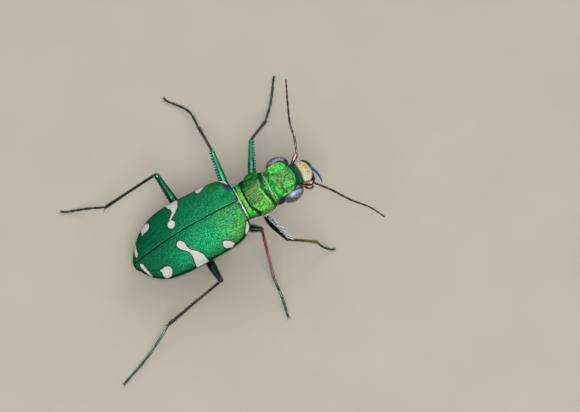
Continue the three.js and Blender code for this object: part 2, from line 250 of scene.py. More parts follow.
class Finish(Net):
    """One surface's look: a shader, the colour so far, and patterns over the place that each point's field
    holds, in mm. A plain tint is its red, green and blue as they look, from 0 to 255."""

    def __init__(self, name, constants={}, place="place"):
        self.material = bpy.data.materials.new(name)
        self.material.use_nodes = True
        super().__init__(self.material.node_tree)
        self.shader = self.tree.nodes["Principled BSDF"]
        for label, value in constants.items():
            self.shader.inputs[label].default_value = paint(value) if isinstance(value, tuple) else value
        self.place = self.field(place, "Vector")

    def field(self, label, output="Fac"):
        """What the mesh keeps under this name for each of its points."""
        return self.node("ShaderNodeAttribute", {"attribute_name": label}, {}, output)

    def axes(self):
        """How far along, across and up the body."""
        return [self.node("ShaderNodeSeparateXYZ", {}, {0: self.place}, k) for k in range(3)]

    def noise(self, scale, detail=3.0, squeeze=None):
        """A soft random pattern about 0.5. A squeeze makes it finer along each axis by its own factor."""
        place = self.place
        if squeeze:
            place = self.node("ShaderNodeVectorMath", {"operation": "MULTIPLY"}, {0: place, 1: squeeze})
        return self.node("ShaderNodeTexNoise", {}, {"Vector": place, "Scale": scale, "Detail": detail})

    def grains(self, scale):
        """How far the nearest of many scattered grains is."""
        return self.node("ShaderNodeTexVoronoi", {}, {"Vector": self.place, "Scale": scale}, "Distance")

    def fade(self, value, low, high):
        """0 below low, 1 above high and smooth in between. Low may be the larger one."""
        limits = {"Value": value, "From Min": low, "From Max": high}
        return self.node("ShaderNodeMapRange", {"interpolation_type": "SMOOTHSTEP"}, limits)

    def patches(self, scale, low, high, detail=3.0):
        """Patches of noise with soft edges: 0 where it is below low and 1 where it is above high."""
        return self.fade(self.noise(scale, detail), low, high)

    def mix(self, share, colour, other):
        """One colour or plain tint that turns into another as the share goes from 0 to 1."""
        first, second = (paint(one) if isinstance(one, tuple) else one for one in (colour, other))
        return self.node("ShaderNodeMix", {"data_type": "RGBA"}, {0: share, 6: first, 7: second}, 2)

    def lay(self, share, tint):
        """Lays a tint over the colour so far, as far as the share says."""
        self.colour = self.mix(share, self.colour, tint)

    def feed(self, wires={}):
        """Links the colour and the other patterns to the shader."""
        for label, wire in {"Base Color": self.colour, **wires}.items():
            self.tree.links.new(wire.socket, self.shader.inputs[label])
        return self

    def bumped(self, height, depth):
        """The surface's normal over a height pattern that is depth mm from low to high."""
        return self.node("ShaderNodeBump", {}, {"Strength": 1.0, "Distance": depth * MM, "Height": height})


def pitted(name, deep, main, light, roughness=0.38):
    """Hard metallic plate in three mottled tints, with small pits."""
    look = Finish(name, {"Metallic": 0.75, "Specular Tint": (150, 170, 160)})
    cell = look.grains(9)
    look.colour = look.mix(look.patches(1.3, 0.38, 0.62), deep, main)
    look.lay(look.patches(6, 0.52, 0.72), light)
    look.lay(look.fade(cell, 0.22, 0.05), deep)
    grain = look.noise(30)
    return look.feed({
        "Roughness": grain * 0.2 + roughness - 0.1,
        "Normal": look.bumped(look.fade(cell, 0.05, 0.3) + grain * 0.4, 0.02),
    })


THORAX_LOOK = pitted("thorax_plates", (10, 26, 30), (20, 74, 56), (96, 70, 46))
for name, sections, node in (
    ("middle_thorax", MIDDLE_THORAX, "mesothorax"),
    ("hind_thorax", HIND_THORAX, "metathorax"),
):
    rings = trunk(sections, 60, **BELLY_ROUNDNESS)
    x, y, z = np.moveaxis(rings, 2, 0)
    level_seams = groove(z + 0.45 + 0.1 * (x + 2), SEAM_WIDTH) + groove(z + 0.78, SEAM_WIDTH)
    seams = level_seams + 0.8 * groove(y, 0.04) * (z < 0)
    slanted = groove(x + 2.9 + 0.6 * z, 0.04) + groove(x + 0.75 - 0.5 * z, 0.04)
    ripple = THORAX_RIPPLE * np.sin(17 * x + 6 * z) * np.sin(13 * z + 3)
    rings = push(rings, SEAM_DEPTH * (seams + slanted) + ripple)
    piece(name, closed_mesh(name, rings), THORAX_LOOK, node)

# Abdomen
# Six belly plates overlap like tiles, each with its rear edge a little proud. They are dark blue with violet,
# and the last one shows as a purple tip behind the wing cases.
ABDOMEN = [
    (-3.7, 1.95, 0.98, -1.1),
    (-5.0, 1.9, 0.8, -1.08),
    (-6.2, 1.62, 0.38, -0.98),
    (-7.1, 1.12, -0.02, -0.8),
    (-7.5, 0.78, -0.14, -0.66),
]
ABDOMEN_TIP = [
    (-7.4, 0.74, -0.18, -0.62),
    (-7.7, 0.7, -0.18, -0.6),
    (-7.95, 0.54, -0.22, -0.56),
    (-8.12, 0.32, -0.28, -0.5),
    (-8.17, 0.08, -0.36, -0.42),
]
PLATE_EDGES = (-3.7, -4.45, -5.15, -5.8, -6.4, -6.95, -7.5)
PLATE_STEP = 0.045
PLATE_RIPPLE = 0.006
TAIL_RING = -7.86
TAIL_RING_DEPTH = 0.03
ABDOMEN_LOOK = pitted("abdomen_plates", (12, 14, 34), (22, 40, 74), (72, 44, 92), 0.3)
rings = trunk(ABDOMEN, 120, **BELLY_ROUNDNESS)
x, y, z = np.moveaxis(rings, 2, 0)
plate = np.interp(x, PLATE_EDGES[::-1], np.arange(len(PLATE_EDGES))[::-1])
rings = push(rings, PLATE_STEP * (plate % 1) ** 2 + PLATE_RIPPLE * np.sin(21 * y + 9 * x))
piece("abdomen_plates", closed_mesh("abdomen_plates", rings), ABDOMEN_LOOK, "abdomen")
rings = trunk(ABDOMEN_TIP, 40, 80, **BELLY_ROUNDNESS)
rings = push(rings, TAIL_RING_DEPTH * groove(rings[..., 0] - TAIL_RING, 0.05))
piece("tail_plate", closed_mesh("tail_plate", rings), ABDOMEN_LOOK, "abdomen_tip")

# Front shield
# The pronotum is a saddle of golden green shell with copper in its middle. A deep blue-green groove runs
# across it near each end, a fine line runs down its middle, and both ends have a raised bead.
FRONT_SHIELD = [
    (0.0, 1.15, 1.2, -0.5),
    (0.06, 1.21, 1.27, -0.52),
    (0.3, 1.27, 1.33, -0.56),
    (0.6, 1.3, 1.33, -0.62),
    (0.95, 1.42, 1.42, -0.68),
    (1.45, 1.54, 1.49, -0.7),
    (1.8, 1.49, 1.43, -0.64),
    (2.02, 1.4, 1.35, -0.56),
    (2.26, 1.28, 1.26, -0.48),
    (2.36, 1.22, 1.2, -0.44),
]
SHIELD_GROOVE_DEPTH = 0.09
SHIELD_BEAD_HEIGHT = 0.035
SHIELD_RIDGE_HEIGHT = 0.02
SHIELD_WRINKLE = 0.007
SHIELD_DIMPLE = 0.01
REAR_BEAD = 0.11
REAR_GROOVE = 0.57
FRONT_RIDGE = 1.66
FRONT_GROOVE = 1.97
FRONT_BEAD = 2.27
rings = trunk(FRONT_SHIELD, 190, 280, widest=0.64, square=0.84, keel=1.1)
x, y, z = np.moveaxis(rings, 2, 0)
side = np.abs(y)
back = ease(z, 0.2, 0.7)
rear_line = x - REAR_GROOVE - 0.5 * np.maximum(side - 0.6, 0) ** 1.2
ridge_line = x - FRONT_RIDGE - 0.26 * side
front_line = x - FRONT_GROOVE - 0.13 * side
on_right = ease(y, 0.2, -0.2)
middle_line = ease(x, 0.62, 0.75) * (1 - ease(x, 1.55, 1.68))
on_disc = ease(rear_line, 0.06, 0.2) * (1 - ease(ridge_line, -0.1, -0.02)) * back
wrinkles = np.sin(30 * x + 5 * np.sin(5 * y) + 2.3 * np.sin(11 * y + 2))
shield_grooves = (
    groove(rear_line, 0.05 + 0.05 * ease(side, 0.6, 1.1)) * back
    + 0.65 * groove(front_line, 0.13) * back * (0.55 + 0.45 * ease(side, 0.1, 0.8))
    + 0.25 * groove(y, 0.02) * middle_line * back
    + 0.6 * groove(x - 0.23, 0.035) * on_right * back
)
shield_beads = -groove(x - REAR_BEAD, 0.065) - groove(x - FRONT_BEAD - 0.02 * side, 0.04)
shield_ridge = -groove(ridge_line, 0.05) * back
dimples = np.sin(9 * x + 4 * y) * np.sin(7 * y - 5 * x + 1)
dimples += 0.6 * np.sin(15 * y + 8 * x) * np.sin(17 * x - 6 * y)
shield_rise = (
    SHIELD_GROOVE_DEPTH * shield_grooves
    + SHIELD_BEAD_HEIGHT * shield_beads
    + SHIELD_RIDGE_HEIGHT * shield_ridge
    + SHIELD_WRINKLE * wrinkles * on_disc
    + SHIELD_DIMPLE * dimples * back
    + 0.03 * groove(side - 0.7, 0.3) * groove(x - 0.62, 0.2)
)
shield_rings = push(rings, shield_rise)


def golden(name):
    """Golden green shell, finely mottled with pale yellow and blue green. The piece that uses it lays its own
    patches and grooves over that."""
    look = Finish(name, {"Specular Tint": (150, 200, 150)})
    look.colour = look.mix(look.patches(1.8, 0.42, 0.58, 4), (0, 122, 58), (16, 196, 84))
    look.lay(look.patches(4.6, 0.5, 0.6, 3) * 0.5, (96, 206, 66))
    look.lay(look.fade(look.noise(5, 3, (1.1, 0.9, 1.2)), 0.45, 0.36) * 0.75, (0, 80, 60))
    grain = look.noise(12, 5)
    look.lay(look.fade(grain, 0.53, 0.63) * 0.75, (178, 206, 104))
    look.lay(look.fade(grain, 0.47, 0.37) * 0.75, (0, 80, 64))
    return look


look = golden("front_shield")
along, across, up = look.axes()
front_end = along - abs(across) * 0.26
disc = look.fade(abs(along - 1.2), 0.56, 0.4) * look.fade(abs(across + 0.1), 0.85, 0.45)
copper = look.patches(7, 0.44, 0.56, 4) * disc
look.lay(copper * 0.6, (150, 122, 92))
# Painted shade: the left side of the shield darkens to deep green in patches.
left_painted_shade = look.fade(across, 0.15, 0.7) * look.patches(3, 0.34, 0.5, 3)
look.lay(left_painted_shade * 0.75, (0, 84, 48))
# Painted light: the right side of the shield brightens to yellow green in small patches.
bright = look.fade(across, -0.5, -1.0) * look.patches(11, 0.48, 0.56, 3)
look.lay(bright * 0.7, (140, 216, 56))
band = look.fade(abs(along - 0.34), 0.2, 0.13) * look.fade(up, 0.3, 0.8)
ends = look.fade(abs(across), 0.6, 1.0)
patchy = look.patches(6, 0.48, 0.6, 4)
band_tint = look.mix(ends, look.mix(patchy, (70, 206, 66), (196, 180, 104)), (40, 210, 50))
look.lay(band * 0.75, band_tint)
middle = look.fade(abs(across), 0.045, 0.02) * look.fade(abs(along - 1.1), 0.5, 0.42)
look.lay(middle * 0.85, (136, 70, 74))
# The grooves are blue green, and painted shade deepens them to near black along their length.
look.lay(look.fade(look.field("groove"), -0.12, -0.6) * 0.95, (2, 40, 40))
collar = look.fade(abs(front_end - 1.86), 0.14, 0.06)
look.lay(collar * 0.7, (0, 74, 36))
ridge = look.fade(look.field("ridge"), 0.45, 0.85) * look.fade(abs(across + 0.2), 0.95, 0.8)
ridge_tint = look.mix(look.fade(across, -0.05, 0.2), (176, 226, 106), (196, 142, 74))
look.lay(ridge * 0.8, ridge_tint)
# Painted shade: dark blue on the left side, at the rear corner and along the edge by the rear groove.
left_rear_shade = look.fade(across, 0.3, 0.75) * look.fade(abs(along - 0.16), 0.18, 0.06)
look.lay(left_rear_shade * 0.8, (6, 40, 84))
left_edge_shade = look.fade(across, 0.75, 1.05) * look.fade(abs(along - 0.66), 0.24, 0.1)
look.lay(left_edge_shade * 0.75, (4, 46, 66))
# Painted highlights: the rear bead is pale blue white all along, and the copper front bead has a white glint
# in its middle.
bead = look.fade(look.field("bead"), 0.4, 0.75)
glint = look.fade(abs(across - 0.05), 0.85, 0.6) * look.fade(along, 2.25, 2.29)
front_bead = look.mix(glint, (198, 146, 44), (206, 220, 232))
bead_highlight_and_copper = look.mix(look.fade(along, 1.0, 1.2), (222, 230, 234), front_bead)
look.lay(bead * 0.92, bead_highlight_and_copper)
# Painted shade: the lower sides of the shield darken towards the belly.
look.lay(look.fade(up, 0.9, 0.5), (4, 40, 32))
crackle = look.noise(1, 5, (14, 8, 8))
look.feed({
    "Roughness": look.noise(12) * 0.24 + 0.24 - bead * 0.1,
    "Metallic": 0.72 + bead * 0.15,
    "Normal": look.bumped(crackle + look.noise(34) * 0.3, 0.06),
})
fields = {"groove": shield_grooves, "bead": shield_beads, "ridge": shield_ridge}
piece("front_shield", closed_mesh("front_shield", shield_rings, fields), look, "pronotum")

# Head
# A broad capsule, golden green and wrinkled, with a raised brow along each eye that hides the eye's inner
# side. Its neck goes into the front shield, and its front slopes down to the face plate.
HEAD = [
    (2.0, 1.0, 0.98, -0.32),
    (2.3, 1.2, 1.12, -0.4),
    (2.58, 1.24, 1.2, -0.5),
    (2.95, 1.17, 1.25, -0.56),
    (3.3, 1.17, 1.28, -0.58),
    (3.65, 1.08, 1.26, -0.56),
    (3.95, 0.92, 1.18, -0.5),
    (4.18, 0.82, 1.04, -0.44),
    (4.34, 0.76, 0.9, -0.36),
]
BROW_HEIGHT = 0.11
BROW_WIDTH = 0.09
BROW_FURROW = 0.045
HEAD_WRINKLE = 0.006
HEAD_DENT = 0.008
HEAD_STATIONS = 170
head_path = curve_through(HEAD, HEAD_STATIONS)
head_x, head_half = head_path[:, 0], head_path[:, 1:2]
between_eyes = ease(head_x, 2.45, 2.85) * (1 - ease(head_x, 3.9, 4.2))
rings = trunk(HEAD, HEAD_STATIONS, 300, square=0.64 - 0.44 * between_eyes)
x, y, z = np.moveaxis(rings, 2, 0)
back = ease(z, 0.3, 0.8)
side = np.abs(y)
brow = ease(x, 2.6, 2.9) * (1 - ease(x, 3.95, 4.18))
brow_line = side - head_half + BROW_WIDTH
brows = -groove(brow_line, BROW_WIDTH) * brow * ease(z, 0.9, 1.1)
striae = np.sin(70 * brow_line) * ease(side, 0.6, 0.8) * brow
wrinkles = np.sin(30 * x + 6 * np.sin(4.3 * y + 1) + 3 * np.sin(9 * y)) * (1 - ease(side, 0.5, 0.8))
dents = np.sin(8 * x + 5 * y + 1) * np.sin(7 * y - 4 * x)
dents += 0.6 * np.sin(15 * x - 7 * y) * np.sin(13 * y + 9 * x)
head_rise = (
    BROW_HEIGHT * brows
    + BROW_FURROW * groove(side - 0.62, 0.26) * brow * back
    + 0.03 * groove(x - 4.1 + 0.1 * side, 0.06) * ease(z, 0.5, 0.8)
    + 0.03 * groove(x - 2.45, 0.08) * ease(z, 0.2, 0.6)
    + HEAD_WRINKLE * striae * back
    + HEAD_WRINKLE * wrinkles * back * (1 - ease(x, 4.0, 4.2)) * ease(x, 2.5, 2.7)
    + HEAD_DENT * dents * back * ease(x, 2.4, 2.7) * (1 - ease(x, 4.0, 4.2))
)
head_rings = push(rings, head_rise)
look = golden("head_shell")
along, across, up = look.axes()
middle = look.fade(abs(across), 0.85, 0.4) * look.fade(abs(along - 3.3), 0.75, 0.45)
blotch = look.patches(7, 0.47, 0.58, 4) * middle
look.lay(blotch * 0.5, (144, 150, 102))
bright = look.patches(4.5, 0.46, 0.58, 4) * look.fade(abs(across), 0.35, 0.8)
look.lay(bright * 0.7, (92, 232, 92))
look.lay(look.fade(along, 2.7, 2.45) * 0.45, (0, 132, 76))
# Painted highlight: a patchy yellow green line along the brow ridges, orange gold and stronger on the left
# brow.
left = look.fade(across, -0.2, 0.2)
brow_highlight_patches = look.fade(look.noise(3.4) + left * 0.2, 0.42, 0.52)
brow_edge = look.fade(look.field("brow"), 0.78, 0.96) * brow_highlight_patches
brow_tint = look.mix(left, (134, 180, 48), (232, 172, 60))
look.lay(brow_edge * (0.5 + left * 0.35), brow_tint)
brow_outer = look.fade(look.field("beyond"), 0.01, 0.05) * look.fade(along, 2.7, 2.9)
look.lay(brow_outer * 0.85, (20, 26, 30))
forehead = along + across * across * 0.42
look.lay(look.fade(forehead, 4.1, 4.2) * 0.9, (4, 66, 62))
neck = look.fade(along, 3.0, 2.8) * look.fade(abs(across), 1.08, 1.18)
neck_tint = look.mix(look.fade(up, 0.8, 0.55), (12, 34, 110), (62, 42, 92))
look.lay(neck * 0.95, neck_tint)
# Painted shade: the lower sides of the head darken towards its underside.
look.lay(look.fade(up, 0.6, 0.3), (10, 40, 48))
crackle = look.noise(1, 5, (8, 15, 8))
look.feed({
    "Roughness": look.noise(12) * 0.24 + 0.25,
    "Metallic": 0.72 + look.noise(3) * 0.05,
    "Normal": look.bumped(crackle + look.noise(34) * 0.3, 0.05),
})
mesh = closed_mesh("head_shell", head_rings, {"brow": brows, "beyond": brow_line - 0.03})
piece("head_shell", mesh, look, "head")

# Eyes
# Each is one large bulging lens of thousands of facets, glassy grey brown with darker specks and a painted
# blue-grey sky reflection on the side that faces the light. It is set close below the brow, in a thin dark
# rim.
SIDES = {"left": 1, "right": -1}
EYE_RADII = (0.785, 0.555, 0.53)
EYE_PLACES = {"left": (3.45, 1.18, 0.71), "right": (3.52, -1.11, 0.71)}
EYE_TURN = math.radians(11)
# Each eye's painted sky reflection lies on the side that this direction points to.
EYE_REFLECTION_SIDES = {"left": (0.1, -0.35, 0.93), "right": (0.38, 0.1, 0.92)}


def egg(centre, radii, turn, stations, count):
    """Rings of a closed egg shape along the body, turned about the upright axis."""
    angle = np.linspace(0.02, np.pi - 0.02, stations)[:, None]
    spin = np.linspace(0, 2 * np.pi, count, endpoint=False)[None]
    local = np.stack([
        radii[0] * np.cos(angle) + 0 * spin,
        radii[1] * np.sin(angle) * np.cos(spin),
        radii[2] * np.sin(angle) * np.sin(spin),
    ], axis=-1)
    return local @ np.array(Matrix.Rotation(turn, 3, "Z")).T + np.asarray(centre)


look = Finish("eye_lenses", {"Metallic": 0.0, "Coat Weight": 1.0, "Coat Roughness": 0.08})
outwards = look.field("outwards")
toward_reflection = look.field("toward_reflection")
look.colour = look.mix(look.patches(5, 0.42, 0.58, 4), (40, 32, 34), (96, 84, 86))
# Painted reflection: pale blue grey, then brighter sky blue, in patches on the side of each eye that faces
# the light.
pale = look.fade(toward_reflection, 0.3, 0.66) * look.patches(7, 0.36, 0.54, 4)
look.lay(pale * 0.8, (136, 150, 174))
sky_reflection = look.fade(toward_reflection, 0.62, 0.92) * look.patches(6.5, 0.33, 0.5, 4)
look.lay(sky_reflection * 0.9, (144, 192, 234))
speck = look.fade(look.grains(4.4), 0.26, 0.12) * look.patches(5, 0.42, 0.5)
look.lay(speck * 0.85, (40, 32, 36))
look.lay(look.fade(outwards, 0.2, 0.06), (16, 13, 16))
facet = look.grains(36)
look.lay(look.fade(facet, 0.25, 0.6) * 0.35, (34, 28, 30))
look.feed({
    "Roughness": facet * 0.2 + 0.25,
    "Normal": look.bumped(1 - facet, 0.006),
})
for name, side in SIDES.items():
    rings = egg(EYE_PLACES[name], EYE_RADII, -side * EYE_TURN, stations=80, count=120)
    facing = (rings - EYE_PLACES[name]) / EYE_RADII
    fields = {"outwards": facing[..., 1] * side, "toward_reflection": facing @ np.array(EYE_REFLECTION_SIDES[name])}
    mesh = closed_mesh(f"eye_{name}_lenses", rings, fields)
    piece(f"eye_{name}_lenses", mesh, look, f"eye_{name}")

# Face plate and upper lip
# The clypeus is a narrow band of dark green and violet between the feelers. Below it hangs the labrum, an
# ivory plate with a thin brown edge, a blunt middle tooth and a row of small dark pits.
FACE_PLATE = [
    (4.14, 0.86, 0.96, 0.1),
    (4.28, 0.84, 0.94, 0.12),
    (4.46, 0.8, 0.86, 0.13),
    (4.57, 0.76, 0.78, 0.14),
    (4.62, 0.7, 0.7, 0.2),
]
UPPER_LIP = [
    (4.56, 0.7, 0.68, 0.36),
    (4.63, 0.74, 0.73, 0.36),
    (4.82, 0.76, 0.64, 0.26),
    (5.03, 0.71, 0.5, 0.2),
    (5.2, 0.59, 0.36, 0.14),
    (5.31, 0.4, 0.25, 0.11),
    (5.38, 0.1, 0.18, 0.11),
]
LIP_BOW = 0.12
LIP_PIT_PLACES = ((0.16, 5.06), (0.36, 4.98), (0.54, 4.86))
LIP_PITS = [(side * across, along) for side in (1, -1) for across, along in LIP_PIT_PLACES]
LIP_PIT_SIZE = 0.045
LIP_PIT_DEPTH = 0.05
LIP_TOOTH_HEIGHT = 0.05
rings = trunk(FACE_PLATE, 50, 140, square=0.7)
x, y, z = np.moveaxis(rings, 2, 0)
creases = 0.035 * groove(x - 4.33, 0.04) - 0.02 * groove(x - 4.54, 0.04)
rings = push(rings, creases + 0.004 * np.sin(40 * y) * (x > 4.36))
bow = LIP_BOW * (rings[..., 1] / 0.8) ** 2
rings[..., 0] += (0.04 - bow) * ease(rings[..., 0], 4.3, 4.6)
look = Finish("face_plate", {"Metallic": 0.7, "Specular Tint": (170, 150, 150)})
along, across = look.axes()[:2]
greener = look.fade(look.noise(3.4, 4) - across * 0.16, 0.42, 0.54)
look.colour = look.mix(greener, (64, 60, 88), (8, 94, 58))
look.lay(look.patches(9, 0.56, 0.66, 3) * 0.6, (24, 30, 52))
forward = along + across * across * 0.19
look.lay(look.fade(forward, 4.3, 4.24), (4, 64, 58))
lip_line = look.mix(look.patches(2.4, 0.46, 0.54), (204, 132, 60), (140, 176, 190))
look.lay(look.fade(forward, 4.585, 4.61), lip_line)
look.feed({
    "Roughness": look.noise(14) * 0.2 + 0.24,
    "Normal": look.bumped(look.noise(16, 4), 0.03),
})
piece("face_plate", closed_mesh("face_plate", rings), look, "clypeus")

rings = trunk(UPPER_LIP, 90, 200, square=0.7)
x, y, z = np.moveaxis(rings, 2, 0)
pits = sum(groove(np.hypot(x - along, y - across), LIP_PIT_SIZE) for across, along in LIP_PITS)
pits = pits * ease(z, 0.1, 0.3)
lip_rise = LIP_PIT_DEPTH * pits - LIP_TOOTH_HEIGHT * groove(y, 0.12) * ease(x, 4.9, 5.12)
lip_rise += 0.025 * groove(x - 4.72, 0.04)
lip_rise += 0.035 * groove(np.abs(y) - 0.25, 0.1) * ease(x, 5.0, 5.2)
look = Finish("upper_lip", {"Metallic": 0.0, "Coat Weight": 0.25, "Coat Roughness": 0.3})
along, across = look.axes()[:2]
look.colour = look.mix(look.noise(4, 4), (206, 188, 142), (180, 158, 108))
look.lay(look.fade(across, 0.0, -0.55) * 0.5, (222, 222, 204))
edge = look.fade(along + across * across * 0.62, 5.26, 5.36)
look.lay(edge, (86, 52, 32))
look.lay(look.fade(look.field("pit"), -0.2, -0.6), (66, 38, 26))
look.feed({
    "Roughness": look.noise(9) * 0.2 + 0.35,
    "Normal": look.bumped(look.noise(14, 4), 0.012),
})
mesh = closed_mesh("upper_lip", push(rings, lip_rise), {"pit": pits})
piece("upper_lip", mesh, look, "labrum")

# Jaws
# Two long sickles that cross in front of the lip, the left over the right. They are dark metallic horn with
# an ivory patch at the root, a painted blue sheen on the left blade and three sharp teeth on each inner side.
JAWS = {
    "left": [
        (4.1, 0.5, -0.16),
        (4.38, 0.56, -0.16),
        (4.94, 0.84, -0.12),
        (5.24, 0.68, -0.1),
        (5.4, 0.31, -0.1),
        (5.52, -0.14, -0.08),
        (5.61, -0.66, -0.1),
        (5.57, -1.2, -0.14),
    ],
    "right": [
        (4.1, -0.5, -0.2),
        (4.38, -0.56, -0.2),
        (4.86, -0.76, -0.3),
        (5.12, -0.62, -0.38),
        (5.24, -0.3, -0.42),
        (5.26, 0.1, -0.44),
        (5.22, 0.48, -0.46),
        (5.12, 0.86, -0.46),
    ],
}
JAW_GIRTHS = [(0, 0.17), (0.3, 0.18), (0.42, 0.14), (0.6, 0.135), (0.8, 0.1), (0.95, 0.042), (1, 0.01)]
JAW_STEPS = 60
JAW_THICKNESS = 0.75
JAW_TEETH = ((0.38, 0.28), (0.49, 0.3), (0.6, 0.26))
TOOTH_GIRTHS = [(0, 0.13), (0.5, 0.085), (1, 0.01)]
# The jaws' look tells the left blade, the right one and the teeth apart by the numbers of their lines.
JAW_NUMBERS = {"left": 0, "right": -1}
TOOTH_NUMBER = 1


class Recipe(Net):
    """A Geometry Nodes tree with named inputs. Its end makes instances real and gives them a finish."""

    def __init__(self, name, inputs):
        super().__init__(bpy.data.node_groups.new(name, "GeometryNodeTree"))
        for label, kind in {"Geometry": "Geometry", **inputs, "Finish": "Material"}.items():
            self.tree.interface.new_socket(label, in_out="INPUT", socket_type="NodeSocket" + kind)
        self.tree.interface.new_socket("Geometry", in_out="OUTPUT", socket_type="NodeSocketGeometry")
        self.entry = self.tree.nodes.new("NodeGroupInput")

    def given(self, label):
        return Wire(self, self.entry.outputs[label])

    def stored(self, label, kind="FLOAT"):
        return self.node("GeometryNodeInputNamedAttribute", {"data_type": kind}, {"Name": label})

    def end(self, geometry):
        real = self.node("GeometryNodeRealizeInstances", {}, {"Geometry": geometry})
        smooth = self.node("GeometryNodeSetShadeSmooth", {}, {"Geometry": real})
        finish = {"Geometry": smooth, "Material": self.given("Finish")}
        done = self.node("GeometryNodeSetMaterial", {}, finish)
        self.tree.links.new(done.socket, self.tree.nodes.new("NodeGroupOutput").inputs[0])

    def make(self, name, mesh, look, values):
        """The plain mesh that the tree makes from another mesh."""
        carrier = bpy.data.objects.new(name, mesh)
        modifier = carrier.modifiers.new("recipe", "NODES")
        modifier.node_group = self.tree
        values = {**values, "Finish": look.material}
        for item in self.tree.interface.items_tree:
            if item.in_out == "INPUT" and item.name in values:
                modifier[item.identifier] = values[item.name]
        bpy.context.scene.collection.objects.link(carrier)
        graph = bpy.context.evaluated_depsgraph_get()
        seen = carrier.evaluated_get(graph)
        made = bpy.data.meshes.new_from_object(seen, preserve_all_data_layers=True, depsgraph=graph)
        bpy.data.objects.remove(carrier)
        return made


LIMB = Recipe("Limb along a path", {"Sides": "Int", "Height": "Float"})
line = LIMB.node("GeometryNodeMeshToCurve", {}, {"Mesh": LIMB.given("Geometry")})
line = LIMB.node("GeometryNodeSetCurveNormal", {"mode": "Z_UP"}, {"Curve": line})
slope = LIMB.node("ShaderNodeSeparateXYZ", {}, {0: LIMB.node("GeometryNodeInputTangent", {}, {})}, 2)
levelled = {"Geometry": line, "Name": "level", "Value": (1.05 - slope * slope) ** -0.5}
line = LIMB.node("GeometryNodeStoreNamedAttribute", {}, levelled)
circle = LIMB.node("GeometryNodeCurvePrimitiveCircle", {}, {"Resolution": LIMB.given("Sides"), "Radius": 1.0})
oval = LIMB.node("ShaderNodeCombineXYZ", {}, {0: LIMB.given("Height"), 1: 1.0, 2: 1.0})
circle = LIMB.node("GeometryNodeTransform", {}, {"Geometry": circle, "Scale": oval})
tube = {"Curve": line, "Profile Curve": circle, "Scale": LIMB.stored("girth"), "Fill Caps": True}
tube = LIMB.node("GeometryNodeCurveToMesh", {}, tube)
place = LIMB.node("GeometryNodeInputPosition", {}, {})
place = LIMB.node("ShaderNodeVectorMath", {"operation": "SCALE"}, {0: place, "Scale": 1 / MM})
placed = {"Geometry": tube, "Name": "place", "Value": place}
tube = LIMB.node("GeometryNodeStoreNamedAttribute", {"data_type": "FLOAT_VECTOR"}, placed)
upward = LIMB.node("ShaderNodeSeparateXYZ", {}, {0: LIMB.node("GeometryNodeInputNormal", {}, {})}, 2)
upper_side = {"Geometry": tube, "Name": "upward", "Value": upward * LIMB.stored("level")}
LIMB.end(LIMB.node("GeometryNodeStoreNamedAttribute", {}, upper_side))


def limb_mesh(name, lines, look, sides=20, height=1.0):
    """One mesh of closed tubes. Each line is its points in the row frame in mm, its radii and its number."""
    points = np.vstack([path for path, girths, number in lines])
    counts = [len(path) for path, girths, number in lines]
    starts = np.cumsum([0] + counts[:-1])
    edges = [(start + k, start + k + 1) for start, count in zip(starts, counts) for k in range(count - 1)]
    mesh = bpy.data.meshes.new(name)
    mesh.from_pydata((points * MM).tolist(), edges, [])
    fields = {
        "girth": np.concatenate([girths for path, girths, number in lines]) * MM,
        "along": np.concatenate([np.linspace(0, 1, count) for count in counts]),
        "number": np.repeat([number for path, girths, number in lines], counts),
    }
    for label, values in fields.items():
        keep(mesh, label, values)
    return LIMB.make(name, mesh, look, {"Sides": sides, "Height": height})


def tapered(path, girths, steps, number=0):
    """One line of a limb: a smooth path with a radius at each share of its length, and the line's number."""
    shares, radii = zip(*girths)
    points = even_steps(curve_through(path, 12 * len(path)), steps)
    return points, np.interp(np.linspace(0, 1, steps), shares, radii), number


def unit(vector):
    return vector / np.linalg.norm(vector)


look = Finish("jaw_horn", {"Specular Tint": (150, 160, 190), "Coat Weight": 0.5, "Coat Roughness": 0.15})
along, number = look.field("along"), look.field("number")
on_blade = look.fade(number, 0.6, 0.4)
on_left_blade = look.fade(abs(number), 0.6, 0.4)
root = look.fade(along + look.noise(6) * 0.06, 0.36, 0.29) * on_blade
look.colour = look.mix(look.noise(5), (26, 19, 19), (72, 54, 32))
# Painted sheen: the left blade alone turns cyan, then blue, along its outer half.
look.lay(look.fade(along, 0.5, 0.56) * on_left_blade, (66, 160, 186))
look.lay(look.fade(along, 0.58, 0.68) * on_left_blade, (40, 92, 186))
look.lay(look.fade(along, 0.86, 0.96), (22, 18, 24))
look.lay(root * look.patches(6, 0.4, 0.5) * 0.85, (200, 172, 128))
look.feed({
    "Metallic": (1 - root) * 0.6,
    "Roughness": look.noise(10) * 0.15 + 0.2,
    "Normal": look.bumped(look.noise(14), 0.01),
})
for name, points in JAWS.items():
    blade_line = tapered(in_row(points), JAW_GIRTHS, JAW_STEPS, JAW_NUMBERS[name])
    path = blade_line[0]
    lines = [blade_line]
    for share, reach in JAW_TEETH:
        at = int(share * (JAW_STEPS - 1))
        heading = unit(path[at + 1] - path[at])
        inward = np.cross(heading, (0, 0, SIDES[name]))
        tip = path[at] + reach * (0.9 * inward + 0.45 * heading)
        tooth_path = [path[at], path[at] + 0.55 * (tip - path[at]), tip]
        lines.append(tapered(tooth_path, TOOTH_GIRTHS, 10, TOOTH_NUMBER))
    mesh = limb_mesh(f"jaw_{name}", lines, look, sides=18, height=JAW_THICKNESS)
    piece(f"jaw_{name}", mesh, None, f"mandible_{name}")

